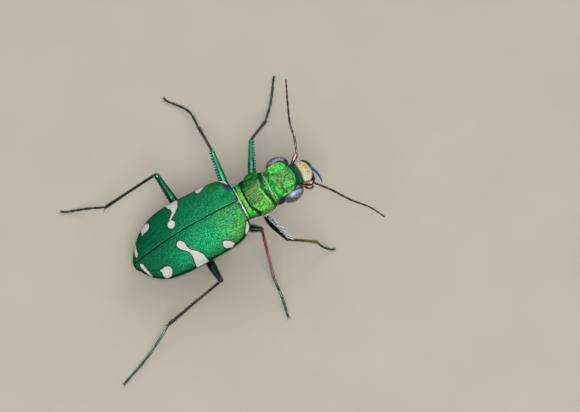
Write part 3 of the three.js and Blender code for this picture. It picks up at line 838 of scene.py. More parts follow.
# Palps
# Two pairs of short jointed feelers below the mouth. Each joint is a small horn barrel, narrow at its root
# and paler at its tip, that fits a little way into the one before it.
MAXILLARY_PALP = [
    (4.2, 0.52, -0.5),
    (4.4, 0.64, -0.56),
    (4.6, 0.88, -0.62),
    (4.8, 0.92, -0.7),
    (4.94, 0.8, -0.8),
]
LABIAL_PALP = [(4.1, 0.2, -0.6), (4.4, 0.22, -0.72), (4.72, 0.34, -1.0), (5.2, 0.34, -1.1)]
JOINT_SHAPE = [(0, 0.5), (0.08, 0.72), (0.3, 0.86), (0.8, 1.0), (0.94, 0.94), (1, 0.55)]
JOINT_STEPS = 14


def jointed(path, shares, radii, overlap=0.1, first=0):
    """Lines of a jointed limb: one barrel for each share of the path, each set a little into the next."""
    path = even_steps(curve_through(path, 24 * len(path)), 400)
    ends = np.concatenate([[0], np.cumsum(shares)]) / sum(shares)
    lines = []
    for k, radius in enumerate(radii):
        start = max(ends[k] - overlap * radius / lengths(path)[-1], 0)
        at = np.linspace(start, ends[k + 1], JOINT_STEPS) * (len(path) - 1)
        points = points_at(path, at, np.arange(len(path)))
        girths = radius * np.interp(np.linspace(0, 1, JOINT_STEPS), *zip(*JOINT_SHAPE))
        lines.append((points, girths, k + first))
    return lines


look = Finish("palp_horn", {"Metallic": 0.35, "Coat Weight": 0.3, "Coat Roughness": 0.2})
along = look.field("along")
look.colour = look.mix(look.patches(5, 0.4, 0.6), (44, 34, 30), (92, 66, 40))
look.lay(look.fade(along, 0.86, 1.0) * 0.6, (168, 138, 92))
look.feed({
    "Roughness": look.noise(12) * 0.2 + 0.25,
    "Normal": look.bumped(look.noise(18), 0.01),
})
for name, side in SIDES.items():
    for row, points, shares, radii in (
        ("maxillary", MAXILLARY_PALP, (0.22, 0.3, 0.2, 0.28), (0.09, 0.085, 0.075, 0.08)),
        ("labial", LABIAL_PALP, (0.2, 0.5, 0.3), (0.1, 0.075, 0.085)),
    ):
        lines = jointed(in_row([(x, side * y, z) for x, y, z in points]), shares, radii)
        mesh = limb_mesh(f"{row}_palp_{name}_joints", lines, look, sides=14)
        piece(f"{row}_palp_{name}_joints", mesh, None, f"{row}_palp_{name}")

# Feelers
# Eleven joints each. The thick root joint and the next three are polished copper and green, and the last
# seven are dull purple brown. Each feeler stands between an eye and the root of a jaw.
FEELERS = {
    "left": [
        (4.26, 0.72, 0.62),
        (4.5, 0.9, 0.66),
        (4.96, 1.24, 0.75),
        (5.29, 2.05, 1.01),
        (5.51, 3.11, 1.27),
        (5.98, 4.42, 1.17),
        (6.7, 6.4, 0.33),
    ],
    "right": [
        (4.26, -0.72, 0.6),
        (4.5, -0.87, 0.62),
        (5.04, -1.13, 0.74),
        (5.83, -2.26, 1.1),
        (6.67, -3.6, 1.21),
        (7.55, -4.6, 0.99),
        (8.12, -5.52, 0.52),
    ],
}
ROOT_GIRTHS = [(0, 0.08), (0.3, 0.11), (0.6, 0.155), (0.85, 0.16), (1, 0.085)]
LASH_SHARES = (0.42, 1.1, 0.86, 0.84, 0.78, 0.72, 0.66, 0.6, 0.55, 0.58)
LASH_RADII = (0.085, 0.085, 0.08, 0.08, 0.078, 0.074, 0.07, 0.066, 0.062, 0.055)
polish = {"Specular Tint": (190, 160, 150), "Coat Weight": 0.3, "Coat Roughness": 0.15}
look = Finish("feeler_horn", polish)
along, number = look.field("along"), look.field("number")
metal = look.mix(look.patches(3, 0.46, 0.62), (62, 30, 30), (18, 40, 36))
shine = look.fade(look.field("upward"), 0.6, 0.95) * look.patches(2, 0.36, 0.5)
on_root = look.fade(number, 0.6, 0.4)
metal = look.mix(shine * (0.3 + on_root * 0.5), metal, (232, 170, 158))
dull = look.mix(look.noise(5), (36, 20, 28), (72, 44, 50))
outer = look.fade(number, 3.4, 3.6)
look.colour = look.mix(outer, metal, dull)
look.lay(look.fade(abs(along - 0.5), 0.4, 0.49), (20, 14, 18))
look.feed({
    "Metallic": (1 - outer) * 0.6 + 0.15,
    "Roughness": outer * 0.25 + 0.25,
    "Normal": look.bumped(look.noise(24, 4), 0.01),
})
for name, points in FEELERS.items():
    path = in_row(points)
    mesh = limb_mesh(f"feeler_root_{name}", [tapered(path[:3], ROOT_GIRTHS, steps=24)], look, sides=18)
    piece(f"feeler_root_{name}", mesh, None, f"scape_{name}")
    lines = jointed(path[2:], LASH_SHARES, LASH_RADII, first=1)
    mesh = limb_mesh(f"feeler_lash_{name}", lines, look, sides=14)
    piece(f"feeler_lash_{name}", mesh, None, f"antenna_{name}")

# Shield between the wing cases
# The scutellum is a small golden green triangle with its point to the rear and dark edges. It fills the notch
# at the front of the seam.
SCUTELLUM_FRONT = 0.08
SCUTELLUM_LENGTH = 0.38
SCUTELLUM_WIDTH = 0.34
SCUTELLUM_TOP = 1.4
SCUTELLUM_DEPTH = 0.28
SCUTELLUM_DOME = 0.08
share = np.linspace(0.0, 1.0, 24)[:, None]
spin = np.linspace(0, 2 * np.pi, 64, endpoint=False)[None]
width = SCUTELLUM_WIDTH * (1 - share) ** 0.9 + 0.012
height = np.abs(np.sin(spin))
dome = np.where(np.sin(spin) > 0, SCUTELLUM_DOME * height**0.5, -SCUTELLUM_DEPTH * height)
rings = np.stack([
    SCUTELLUM_FRONT - SCUTELLUM_LENGTH * share + 0 * spin,
    width * np.cos(spin),
    SCUTELLUM_TOP - SCUTELLUM_DOME - 0.02 * share + dome * (1 - 0.5 * share),
], axis=-1)
look = golden("rear_shield")
edge = look.fade(look.field("inside"), 0.86, 0.7)
look.lay(edge, (34, 28, 60))
look.feed({
    "Roughness": look.noise(12) * 0.2 + 0.3,
    "Metallic": 0.75 - edge * 0.1,
    "Normal": look.bumped(look.noise(14, 4), 0.02),
})
mesh = closed_mesh("rear_shield", rings, {"inside": height + 0 * share})
piece("rear_shield", mesh, look, "scutellum")

# Wing cases
# Two thin domed shells of horn that meet at the seam. They are mid green with a soft grain of light and blue
# green, a turned edge in blue black, and five cream marks outlined in brown on each. They rest on the thorax.
WING_FRONT = 0.06
WING_TAIL = -8.08
WING_EDGE = [
    (0.09, 1.15, 0.88),
    (0.03, 1.52, 0.84),
    (-0.16, 1.86, 0.78),
    (-0.4, 2.06, 0.68),
    (-0.9, 2.28, 0.5),
    (-1.5, 2.38, 0.4),
    (-2.5, 2.43, 0.34),
    (-3.9, 2.45, 0.34),
    (-5.0, 2.41, 0.26),
    (-5.6, 2.32, 0.16),
    (-6.2, 2.15, -0.02),
    (-6.7, 1.91, -0.18),
    (-7.1, 1.61, -0.28),
    (-7.45, 1.28, -0.34),
    (-7.75, 0.9, -0.34),
    (-7.97, 0.52, -0.28),
    (-8.08, 0.2, -0.22),
]
WING_RIDGE = [1.46, 1.53, 1.57, 1.58, 1.54, 1.45, 1.29, 1.06, 0.76, 0.4, 0.0]
WING_THICKNESS = 0.1
WING_LIP_HEIGHT = 0.13
WING_LIP_TURN = (0, 0.21, 0.03)
SEAM_GAP = 0.018
NOTCH_LENGTH = 0.34
NOTCH_WIDTH = 0.35
WING_MARKS = {
    "shoulder": [(-0.08, 1.48, 0.03), (-0.2, 1.75, 0.08), (-0.36, 1.98, 0.09), (-0.52, 2.1, 0.04)],
    "front_drop": [(-2.02, 2.12, 0.21), (-1.78, 2.2, 0.15), (-1.54, 2.26, 0.05)],
    "tail_spot": [(-6.28, 1.74, 0.3), (-6.4, 1.7, 0.3)],
    "tail_bump": [(-6.64, 1.46, 0.07), (-6.68, 1.42, 0.06)],
    "tail_crescent": [
        (-7.4, 1.28, 0.03),
        (-7.52, 1.0, 0.06),
        (-7.6, 0.74, 0.085),
        (-7.66, 0.48, 0.1),
        (-7.7, 0.28, 0.04),
    ],
}
BANDS = {
    "left": [
        (-4.02, 2.52, 0.48),
        (-3.99, 2.2, 0.4),
        (-3.96, 1.85, 0.25),
        (-4.12, 1.5, 0.105),
        (-4.32, 1.32, 0.06),
        (-4.54, 1.14, 0.06),
    ],
    "right": [
        (-4.02, 2.52, 0.48),
        (-4.02, 2.15, 0.36),
        (-4.1, 1.86, 0.25),
        (-4.2, 1.66, 0.13),
        (-4.4, 1.34, 0.075),
        (-4.58, 1.06, 0.15),
    ],
}
BAND_KNOBS = {
    "left": [(-4.62, 0.8, 0.26), (-4.64, 0.76, 0.26)],
    "right": [(-4.58, 1.04, 0.17), (-4.64, 0.9, 0.22), (-4.72, 0.74, 0.24)],
}
MARK_BLEND = 0.03
CALLUS_HEIGHT = 0.07
HOLLOW_DEPTH = 0.05
FRONT_DIP = 0.08
GUTTER_DEPTH = 0.035
SEAM_BEAD_HEIGHT = 0.022
wing_edge = even_steps(curve_through(WING_EDGE, 400), 2000)
wing_ridge = curve_through([(10 * k, height) for k, height in enumerate(WING_RIDGE)], 400)[:, 1]


def wing_top(s, v):
    """The outer face at a share s of the way to the tail and v of the way from the seam to the edge."""
    rim = points_at(wing_edge, s, np.linspace(0, 1, len(wing_edge)))
    y = SEAM_GAP + (rim[..., 1] - SEAM_GAP) * v
    seam_x = WING_FRONT + s * (WING_TAIL - WING_FRONT)
    x = seam_x + (rim[..., 0] - seam_x) * v**1.6
    x = np.minimum(x, WING_FRONT - NOTCH_LENGTH * np.clip(1 - y / NOTCH_WIDTH, 0, 1))
    ridge = np.interp(s, np.linspace(0, 1, len(wing_ridge)), wing_ridge)
    z = rim[..., 2] + (ridge - rim[..., 2]) * (1 - v**2.3) ** 0.6
    return np.stack([x, y, z], axis=-1)


def mark_distance(x, y, marks):
    """How far outside the nearest mark a place is, in mm, or less than 0 inside it. A mark is a chain of
    discs, each with its place and radius."""
    total = 0
    for chain in marks:
        for (ax, ay, ar), (bx, by, br) in zip(chain, chain[1:]):
            span = (bx - ax) ** 2 + (by - ay) ** 2
            t = np.clip(((x - ax) * (bx - ax) + (y - ay) * (by - ay)) / span, 0, 1)
            to_middle = np.hypot(x - ax - t * (bx - ax), y - ay - t * (by - ay))
            distance = to_middle - ar - t * (br - ar)
            total = total + np.exp(-np.clip(distance, -1, 1) / MARK_BLEND)
    return -MARK_BLEND * np.log(total)


look = Finish("wing_shell", {"Specular Tint": (120, 190, 140)})
along, across = look.axes()[:2]
mark, rim = look.field("mark"), look.field("rim")
patch = look.noise(0.9, 4)
front = look.fade(along, -6.8, -1.2)
look.colour = look.mix(front * 0.7 + patch * 0.3, (0, 102, 60), (10, 140, 84))
glow = look.fade(along, -4.8, -0.8) * look.fade(rim, 1.5, 0.3)
look.lay(glow * 0.5, (60, 166, 44))
# Painted sheen: faint lighter streaks that run along the body.
sheen_streak = look.noise(1, 4, (0.5, 5, 5))
look.lay(look.fade(sheen_streak, 0.48, 0.64) * 0.3, (30, 160, 92))
grain = look.noise(1, 5, (12, 20, 18))
lit = look.fade(along, -6.5, -1.5) * 0.34 + 0.22 - look.fade(across, -0.4, 0.4) * 0.16
yellower = look.fade(along + patch * 2, -1.6, 0.4) * look.fade(across, 0.5, -0.3)
lit_tint = look.mix(yellower, (82, 190, 116), (140, 196, 76))
look.lay(look.fade(grain, 0.5, 0.6) * lit * 1.3, lit_tint)
look.lay(look.fade(grain, 0.5, 0.4) * 0.5, (0, 88, 78))
# Painted shade: the tail of the left wing case turns dark blue teal.
left_tail_shade = look.fade(along, -6.0, -7.6) * look.fade(across, 0.0, 1.2)
look.lay(left_tail_shade * 0.5, (18, 66, 76))
shaded = look.fade(across, 0.8, 1.9) * look.fade(rim, 1.0, 0.3)
look.lay(shaded * 0.5, (16, 80, 58))
shoulder = look.fade(along, -0.6, -0.25) * look.fade(across, 0.7, 1.15)
look.lay(shoulder * 0.85, (40, 38, 92))
seam = look.fade(abs(across), 0.075, 0.035)
seam_colour = look.mix(look.fade(along, -6.0, -7.4), (6, 48, 44), (40, 30, 34))
look.lay(seam * 0.85, seam_colour)
tail = look.fade(along, -6.4, -7.4)
border = look.fade(rim, 0.3 + tail * 0.04, 0.22)
look.lay(border, look.mix(tail, (4, 34, 36), (40, 30, 74)))
look.lay(look.fade(mark, 0.085, 0.05) * 0.85, (66, 44, 28))
pale = look.mix(look.noise(3, 4), (208, 212, 204), (188, 184, 170))
cream = look.fade(mark + look.noise(7) * 0.05, 0.035, 0.012) * look.fade(rim, 0.05, 0.08)
look.lay(cream, pale)
look.lay(look.fade(rim, 0.07, 0.05), (30, 156, 70))
# Painted shadow: a dark blue strip along the front edge, where the wing case meets the thorax.
look.lay(look.fade(look.field("front"), 0.11, 0.06) * 0.85, (8, 24, 40))
notch = along - abs(across) * (NOTCH_LENGTH / NOTCH_WIDTH) + NOTCH_LENGTH - WING_FRONT
near_notch = look.fade(abs(across), 0.5, 0.36)
look.lay(look.fade(notch, -0.13, -0.07) * near_notch * 0.9, (46, 38, 88))
# Painted highlight: a pale blue line along the edge of the notch beside the scutellum.
look.lay(look.fade(notch, -0.06, -0.03) * near_notch * 0.75, (150, 154, 182))
pits = look.grains(20)
look.feed({
    "Metallic": (1 - cream) * 0.76,
    "Roughness": look.noise(11, 2) * 0.12 + 0.36 + cream * 0.1,
    "Normal": look.bumped(pits * (1.2 - cream) + look.noise(5) * 0.4, 0.014),
})
stations = np.concatenate([
    np.linspace(0, 0.04, 12)[:-1],
    np.linspace(0.04, 0.97, 150),
    np.linspace(0.97, 1, 10)[1:],
])
steps = np.concatenate([
    np.linspace(0, 0.06, 8)[:-1],
    np.linspace(0.06, 0.86, 36),
    1 - 0.14 * np.linspace(1, 0, 20)[1:] ** 1.6,
])
s, v = np.meshgrid(stations, steps, indexing="ij")
for name, side in SIDES.items():
    top = wing_top(s, v)
    x, y, z = np.moveaxis(top, 2, 0)
    to_rim = np.array([lengths(line[::-1])[::-1] for line in top])
    to_front = s * (WING_FRONT - WING_TAIL)
    roll = (1 - ease(to_front, 0.0, 0.25)) ** 2
    callus = CALLUS_HEIGHT * np.exp(-(((x + 0.75) / 0.42) ** 2) - ((y - 1.5) / 0.3) ** 2)
    hollow = HOLLOW_DEPTH * np.exp(-(((x + 0.6) / 0.4) ** 2) - ((y - 0.95) / 0.22) ** 2)
    gutter = GUTTER_DEPTH * groove(to_rim - 0.2, 0.07) - 0.02 * groove(to_rim - 0.05, 0.05)
    seam_bead = SEAM_BEAD_HEIGHT * groove(y - 0.085, 0.02) - 0.012 * groove(y - 0.04, 0.025)
    lift = callus - hollow - FRONT_DIP * roll + gutter + seam_bead * (1 - roll)
    top = top + lift[..., None] * np.array([0, 0, 1])
    rim_line = top[:, -1:]
    below = rim_line - (0, 0.01, WING_LIP_HEIGHT)
    lip = np.concatenate([below, below - WING_LIP_TURN], axis=1)
    inner = top.copy()
    inner[..., 2] -= WING_THICKNESS
    inner[..., 1] = SEAM_GAP + (inner[..., 1] - SEAM_GAP) * 0.9
    inner[..., 2] = np.maximum(inner[..., 2], rim_line[..., 2] - 0.05)
    rings = np.concatenate([top, lip, inner[:, ::-1]], axis=1)
    pad = np.zeros((len(stations), rings.shape[1] - len(steps)))
    marks = [*WING_MARKS.values(), BANDS[name], BAND_KNOBS[name]]
    fields = {
        "mark": np.concatenate([mark_distance(x, y, marks), pad + 1], axis=1),
        "rim": np.concatenate([to_rim, pad], axis=1),
        "front": np.concatenate([to_front, pad + 1], axis=1),
    }
    mesh = closed_mesh(f"wing_case_{name}", rings * (1, side, 1), fields)
    piece(f"wing_case_{name}", mesh, look, f"elytron_{name}")

# Legs
# Six long slender legs, each a hip ball, a small ring piece, a spindle thigh, a thin shin with two spurs and
# a foot of five joints with two claws. They are emerald, bronze and copper metal, dark at the joints.
HIPS = {"front": (1.08, 0.8, -0.98), "middle": (-0.42, 0.95, -1.3), "hind": (-3.6, 1.05, -1.4)}
# Each leg has a knee, an ankle, a toe on the ground, and how far its foot bows to the side.
LEGS = {
    "front_left": ((2.74, 4.13, 3.4), (4.68, 5.95, 1.0), (6.87, 9.1), 0.1),
    "front_right": ((1.65, -3.85, 4.2), (3.7, -3.93, 1.9), (4.86, -4.22), 0.05),
    "middle_left": ((0.08, 4.66, 3.2), (0.47, 7.63, 0.75), (-0.58, 10.96), 0.5),
    "middle_right": ((0.31, -2.59, 4.6), (0.11, -4.76, 1.2), (-0.04, -7.31), 0.1),
    "hind_left": ((-4.2, 4.36, 4.1), (-7.83, 4.75, 1.5), (-10.44, 6.34), 0.2),
    "hind_right": ((-3.59, -4.41, 3.8), (-7.63, -4.68, 1.1), (-11.93, -6.84), 0.1),
}
COXA_PATH = [(0, -0.5, 0.55), (0, -0.2, 0.22), (0, 0.02, 0.02), (0, 0.1, -0.05)]
COXA_GIRTHS = [(0, 0.3), (0.3, 0.42), (0.6, 0.4), (0.85, 0.29), (0.97, 0.18), (1, 0.06)]
RING_LENGTH = 0.42
RING_GIRTHS = [(0, 0.1), (0.25, 0.16), (0.6, 0.18), (0.9, 0.16), (1, 0.1)]
THIGH_GIRTHS = [
    (0, 0.12),
    (0.05, 0.18),
    (0.14, 0.24),
    (0.3, 0.265),
    (0.5, 0.245),
    (0.72, 0.2),
    (0.88, 0.165),
    (0.95, 0.168),
    (0.985, 0.135),
    (1, 0.04),
]
HIND_THIGH_THICKNESS = 1.18
KNEE_LOBE = [(0, 0.04), (0.5, 0.12), (0.85, 0.09), (1, 0.02)]
SHIN_GIRTHS = [(0, 0.05), (0.03, 0.095), (0.12, 0.088), (0.6, 0.092), (0.9, 0.11), (0.975, 0.125), (1, 0.07)]
SPUR_GIRTHS = [(0, 0.045), (0.5, 0.035), (1, 0.006)]
FOOT_SHARES = (0.34, 0.2, 0.16, 0.12, 0.18)
FOOT_RADII = (0.085, 0.08, 0.078, 0.075, 0.07)
CLAW_GIRTHS = [(0, 0.034), (0.5, 0.026), (1, 0.006)]
TOE_HEIGHT = 0.09
SPUR_LENGTH = 0.42
CLAW_LENGTH = 0.2
RING_OVERLAP = 0.08
THIGH_SAG = 0.06
KNEE_OVERLAP = 0.04
SHIN_ARCH = 0.04
SPUR_SPREAD = 0.55
SPUR_DROP = 0.25
LOWEST_TIP = 0.03
FOOT_BEND = 0.47
FOOT_SINK = 0.55


def leg_metal(name, deep, main, light, tip, roughness=0.22):
    """Polished leg shell, softly mottled, that turns to another tint towards its tip and at its joints."""
    polish = {"Metallic": 0.8, "Specular Tint": (120, 160, 150), "Coat Weight": 0.6, "Coat Roughness": 0.12}
    look = Finish(name, polish)
    along = look.field("along")
    look.colour = look.mix(look.patches(1.2, 0.36, 0.64, 3), deep, main)
    above = look.field("upward")
    # Painted shade: the sides and underside of each tube turn to the deep tint.
    look.lay(look.fade(above, 0.86, 0.5) * 0.9, deep)
    # Painted highlight: a narrow line of the light tint along the top of each tube.
    look.lay(look.fade(above + look.noise(6) * 0.2, 0.98, 1.1) * 0.85, light)
    # Painted shade: each line darkens towards its root, meant for where the thighs meet the body.
    look.lay(look.fade(along, 0.4, 0.1) * 0.65, deep)
    look.lay(look.fade(along + look.noise(4) * 0.2, 0.5, 0.8) * 0.7, tip)
    look.lay(look.fade(abs(along - 0.5), 0.45, 0.495) * 0.8, (60, 36, 34))
    pits = look.fade(look.grains(12), 0.1, 0.3)
    return look.feed({
        "Roughness": look.noise(10) * 0.16 + roughness - 0.08,
        "Normal": look.bumped(pits + look.noise(22) * 0.5, 0.01),
    })


HIP_LOOK = leg_metal("hip_shell", (16, 22, 26), (24, 52, 50), (70, 66, 60), (20, 108, 96), roughness=0.34)
# The left thighs take the emerald and deep looks and the right thighs the dark look, a copy of the same green
# metal in painted shade.
THIGH_LOOKS = {
    "emerald": leg_metal("thigh_emerald", (0, 48, 30), (6, 158, 82), (70, 236, 168), (10, 136, 88)),
    "deep": leg_metal("thigh_deep", (0, 16, 10), (2, 54, 32), (60, 232, 166), (6, 66, 44)),
    "dark": leg_metal("thigh_dark", (4, 10, 14), (8, 48, 48), (50, 110, 108), (24, 40, 54)),
}
THIGH_TINTS = {"front_left": "emerald", "middle_left": "emerald", "hind_left": "deep"}
SHIN_LOOKS = {
    "dark": leg_metal("shin_dark", (6, 16, 14), (18, 60, 42), (84, 120, 90), (24, 60, 42)),
    "golden": leg_metal("shin_golden", (60, 50, 20), (170, 130, 54), (232, 190, 104), (150, 136, 50)),
    "copper": leg_metal("shin_copper", (104, 34, 26), (226, 96, 66), (252, 170, 136), (150, 148, 160)),
    "brown": leg_metal("shin_brown", (36, 24, 22), (128, 70, 50), (186, 126, 102), (62, 60, 56)),
}
SHIN_TINTS = {"front_right": "golden", "middle_right": "copper", "hind_right": "brown"}
FOOT_LOOKS = {
    "left": leg_metal("foot_dark", (8, 22, 20), (24, 66, 52), (84, 124, 104), (36, 48, 44)),
    "right": leg_metal("foot_teal", (6, 30, 28), (20, 104, 82), (104, 190, 160), (30, 62, 56)),
}

legs = {}
for name, (knee, ankle, toe, bow) in LEGS.items():
    row, side_name = name.split("_")
    side = SIDES[side_name]
    shift = np.array([BODY_HOME.x, BODY_HOME.y, 0])
    knee, ankle, toe = (np.array(joint) + shift for joint in (knee, ankle, (*toe, TOE_HEIGHT)))
    socket = np.array(HIPS[row]) * (1, side, 1)
    hip = in_row(socket)
    thigh = unit(knee - hip)
    coxa_path = in_row([socket + np.array(step) * (1, side, 1) for step in COXA_PATH])
    mesh = limb_mesh(f"hip_{name}", [tapered(coxa_path, COXA_GIRTHS, steps=30)], HIP_LOOK, sides=32)
    piece(f"hip_{name}", mesh, None, f"coxa_{name}")

    ring_path = [hip - 0.12 * thigh, hip + 0.15 * thigh, hip + (RING_LENGTH + RING_OVERLAP) * thigh]
    mesh = limb_mesh(f"leg_ring_{name}", [tapered(ring_path, RING_GIRTHS, steps=16)], HIP_LOOK)
    piece(f"leg_ring_{name}", mesh, None, f"trochanter_{name}")

    start = hip + RING_LENGTH * thigh
    middle = start + 0.4 * (knee - start) - (0, 0, THIGH_SAG)
    thickness = HIND_THIGH_THICKNESS if row == "hind" else 1
    girths = [(share, thickness * girth) for share, girth in THIGH_GIRTHS]
    thigh_line = tapered([start, middle, knee + KNEE_OVERLAP * thigh], girths, steps=60)
    shin = unit(ankle - knee)
    lobe_path = [knee - 0.35 * thigh, knee - 0.02 * thigh, knee + 0.14 * shin]
    lobe = tapered(lobe_path, KNEE_LOBE, steps=14)
    tint = THIGH_TINTS.get(name, "dark")
    mesh = limb_mesh(f"thigh_{name}", [thigh_line, lobe], THIGH_LOOKS[tint], sides=28)
    piece(f"thigh_{name}", mesh, None, f"femur_{name}")

    sideways = unit(np.cross(shin, (0, 0, 1)))
    shin_path = [knee - 0.02 * shin, (knee + ankle) / 2 + (0, 0, SHIN_ARCH), ankle]
    shin_line = tapered(shin_path, SHIN_GIRTHS, steps=50)
    spurs = []
    for turn in (-1, 1):
        tip = ankle + SPUR_LENGTH * unit(shin + SPUR_SPREAD * turn * sideways - (0, 0, SPUR_DROP))
        tip[2] = max(tip[2], LOWEST_TIP)
        spur_path = [ankle - 0.12 * shin, (ankle + tip) / 2, tip]
        spurs.append(tapered(spur_path, SPUR_GIRTHS, steps=10))
    tint = SHIN_TINTS.get(name, "dark")
    mesh = limb_mesh(f"shin_{name}", [shin_line, *spurs], SHIN_LOOKS[tint], sides=16)
    piece(f"shin_{name}", mesh, None, f"tibia_{name}")

    foot = toe - ankle
    middle = ankle + FOOT_BEND * foot - side * bow * unit(np.cross((0, 0, 1), foot * (1, 1, 0)))
    middle[2] = max(middle[2] * FOOT_SINK, TOE_HEIGHT + 0.02)
    before_toe = toe - 0.2 * foot * (1, 1, 0) / np.linalg.norm(foot)
    foot_path = curve_through([ankle, middle, before_toe, toe], 80)
    foot_path[:, 2] = np.maximum(foot_path[:, 2], TOE_HEIGHT)
    lines = jointed(foot_path, FOOT_SHARES, FOOT_RADII, overlap=0.6)
    ahead = unit(foot * (1, 1, 0))
    aside = np.cross((0, 0, 1), ahead)
    for turn in (-1, 1):
        bend = toe + CLAW_LENGTH * (0.5 * ahead + 0.35 * turn * aside) + (0, 0, 0.03)
        tip = toe + CLAW_LENGTH * (0.7 * ahead + 0.62 * turn * aside) - (0, 0, TOE_HEIGHT - 0.02)
        lines.append(tapered([toe - 0.03 * ahead, bend, tip], CLAW_GIRTHS, steps=10))
    mesh = limb_mesh(f"foot_{name}", lines, FOOT_LOOKS[side_name], sides=14)
    piece(f"foot_{name}", mesh, None, f"tarsus_{name}")
    legs[name] = {"thigh": thigh_line, "shin": shin_line, "foot": lines[: len(FOOT_SHARES)]}

# Hairs and bristles
# White hairs lie in rows along the thighs, and scattered over breast, belly and the lower sides of head and
# front shield. Dark bristles stand on thighs, shins and feet. Each is a thin bent cone rooted in the shell.
HAIR_PATCH = 0.003
ROOT_DEPTH = 0.012
HAIRY_SPAN = (0.06, 0.96)
CELL_FILL = 0.94
CELLS = 8
SHELL_HAIR_BREADTH = 0.48
BRISTLE = Recipe("Bristles", {"Girth": "Float", "Bend": "Float", "Patch": "Float", "Seed": "Int"})
shape = {"Vertices": 4, "Side Segments": 3, "Radius Top": 0.12, "Radius Bottom": 1.0, "Depth": 1.0}
cone = BRISTLE.node("GeometryNodeMeshCone", {}, shape)
cone_uv = Wire(BRISTLE, cone.socket.node.outputs["UV Map"])
height = BRISTLE.node("ShaderNodeSeparateXYZ", {}, {0: BRISTLE.node("GeometryNodeInputPosition", {}, {})}, 2)
bend = BRISTLE.node("ShaderNodeCombineXYZ", {}, {0: height * height * BRISTLE.given("Bend")})
cone = BRISTLE.node("GeometryNodeSetPosition", {}, {"Geometry": cone, "Offset": bend})
patch = {"Geometry": cone, "Name": "patch", "Value": cone_uv}
on_corners = {"data_type": "FLOAT_VECTOR", "domain": "CORNER"}
cone = BRISTLE.node("GeometryNodeStoreNamedAttribute", on_corners, patch)
aim = {"Vector": BRISTLE.stored("aim", "FLOAT_VECTOR")}
lean = BRISTLE.node("FunctionNodeAlignRotationToVector", {"axis": "Z"}, aim)
spread = {2: 0.8, 3: 1.15, "Seed": BRISTLE.given("Seed")}
vary = BRISTLE.node("FunctionNodeRandomValue", {"data_type": "FLOAT"}, spread, 1)
girth = BRISTLE.given("Girth") * BRISTLE.stored("breadth")
size = BRISTLE.node("ShaderNodeCombineXYZ", {}, {0: girth, 1: girth, 2: vary * BRISTLE.stored("reach")})
placed = {"Points": BRISTLE.given("Geometry"), "Instance": cone, "Rotation": lean, "Scale": size}
hairs = BRISTLE.node("GeometryNodeInstanceOnPoints", {}, placed)
hairs = BRISTLE.node("GeometryNodeRealizeInstances", {}, {"Geometry": hairs})
patch = {0: BRISTLE.stored("patch", "FLOAT_VECTOR"), "Scale": BRISTLE.given("Patch")}
patch = BRISTLE.node("ShaderNodeVectorMath", {"operation": "SCALE"}, patch)
spot = {0: patch, 1: BRISTLE.stored("root", "FLOAT_VECTOR")}
spot = BRISTLE.node("ShaderNodeVectorMath", {"operation": "ADD"}, spot)
baked = {"Geometry": hairs, "Name": "OFBake", "Value": spot}
on_corners = {"data_type": "FLOAT2", "domain": "CORNER"}
BRISTLE.end(BRISTLE.node("GeometryNodeStoreNamedAttribute", on_corners, baked))
chances = np.random.default_rng(11)


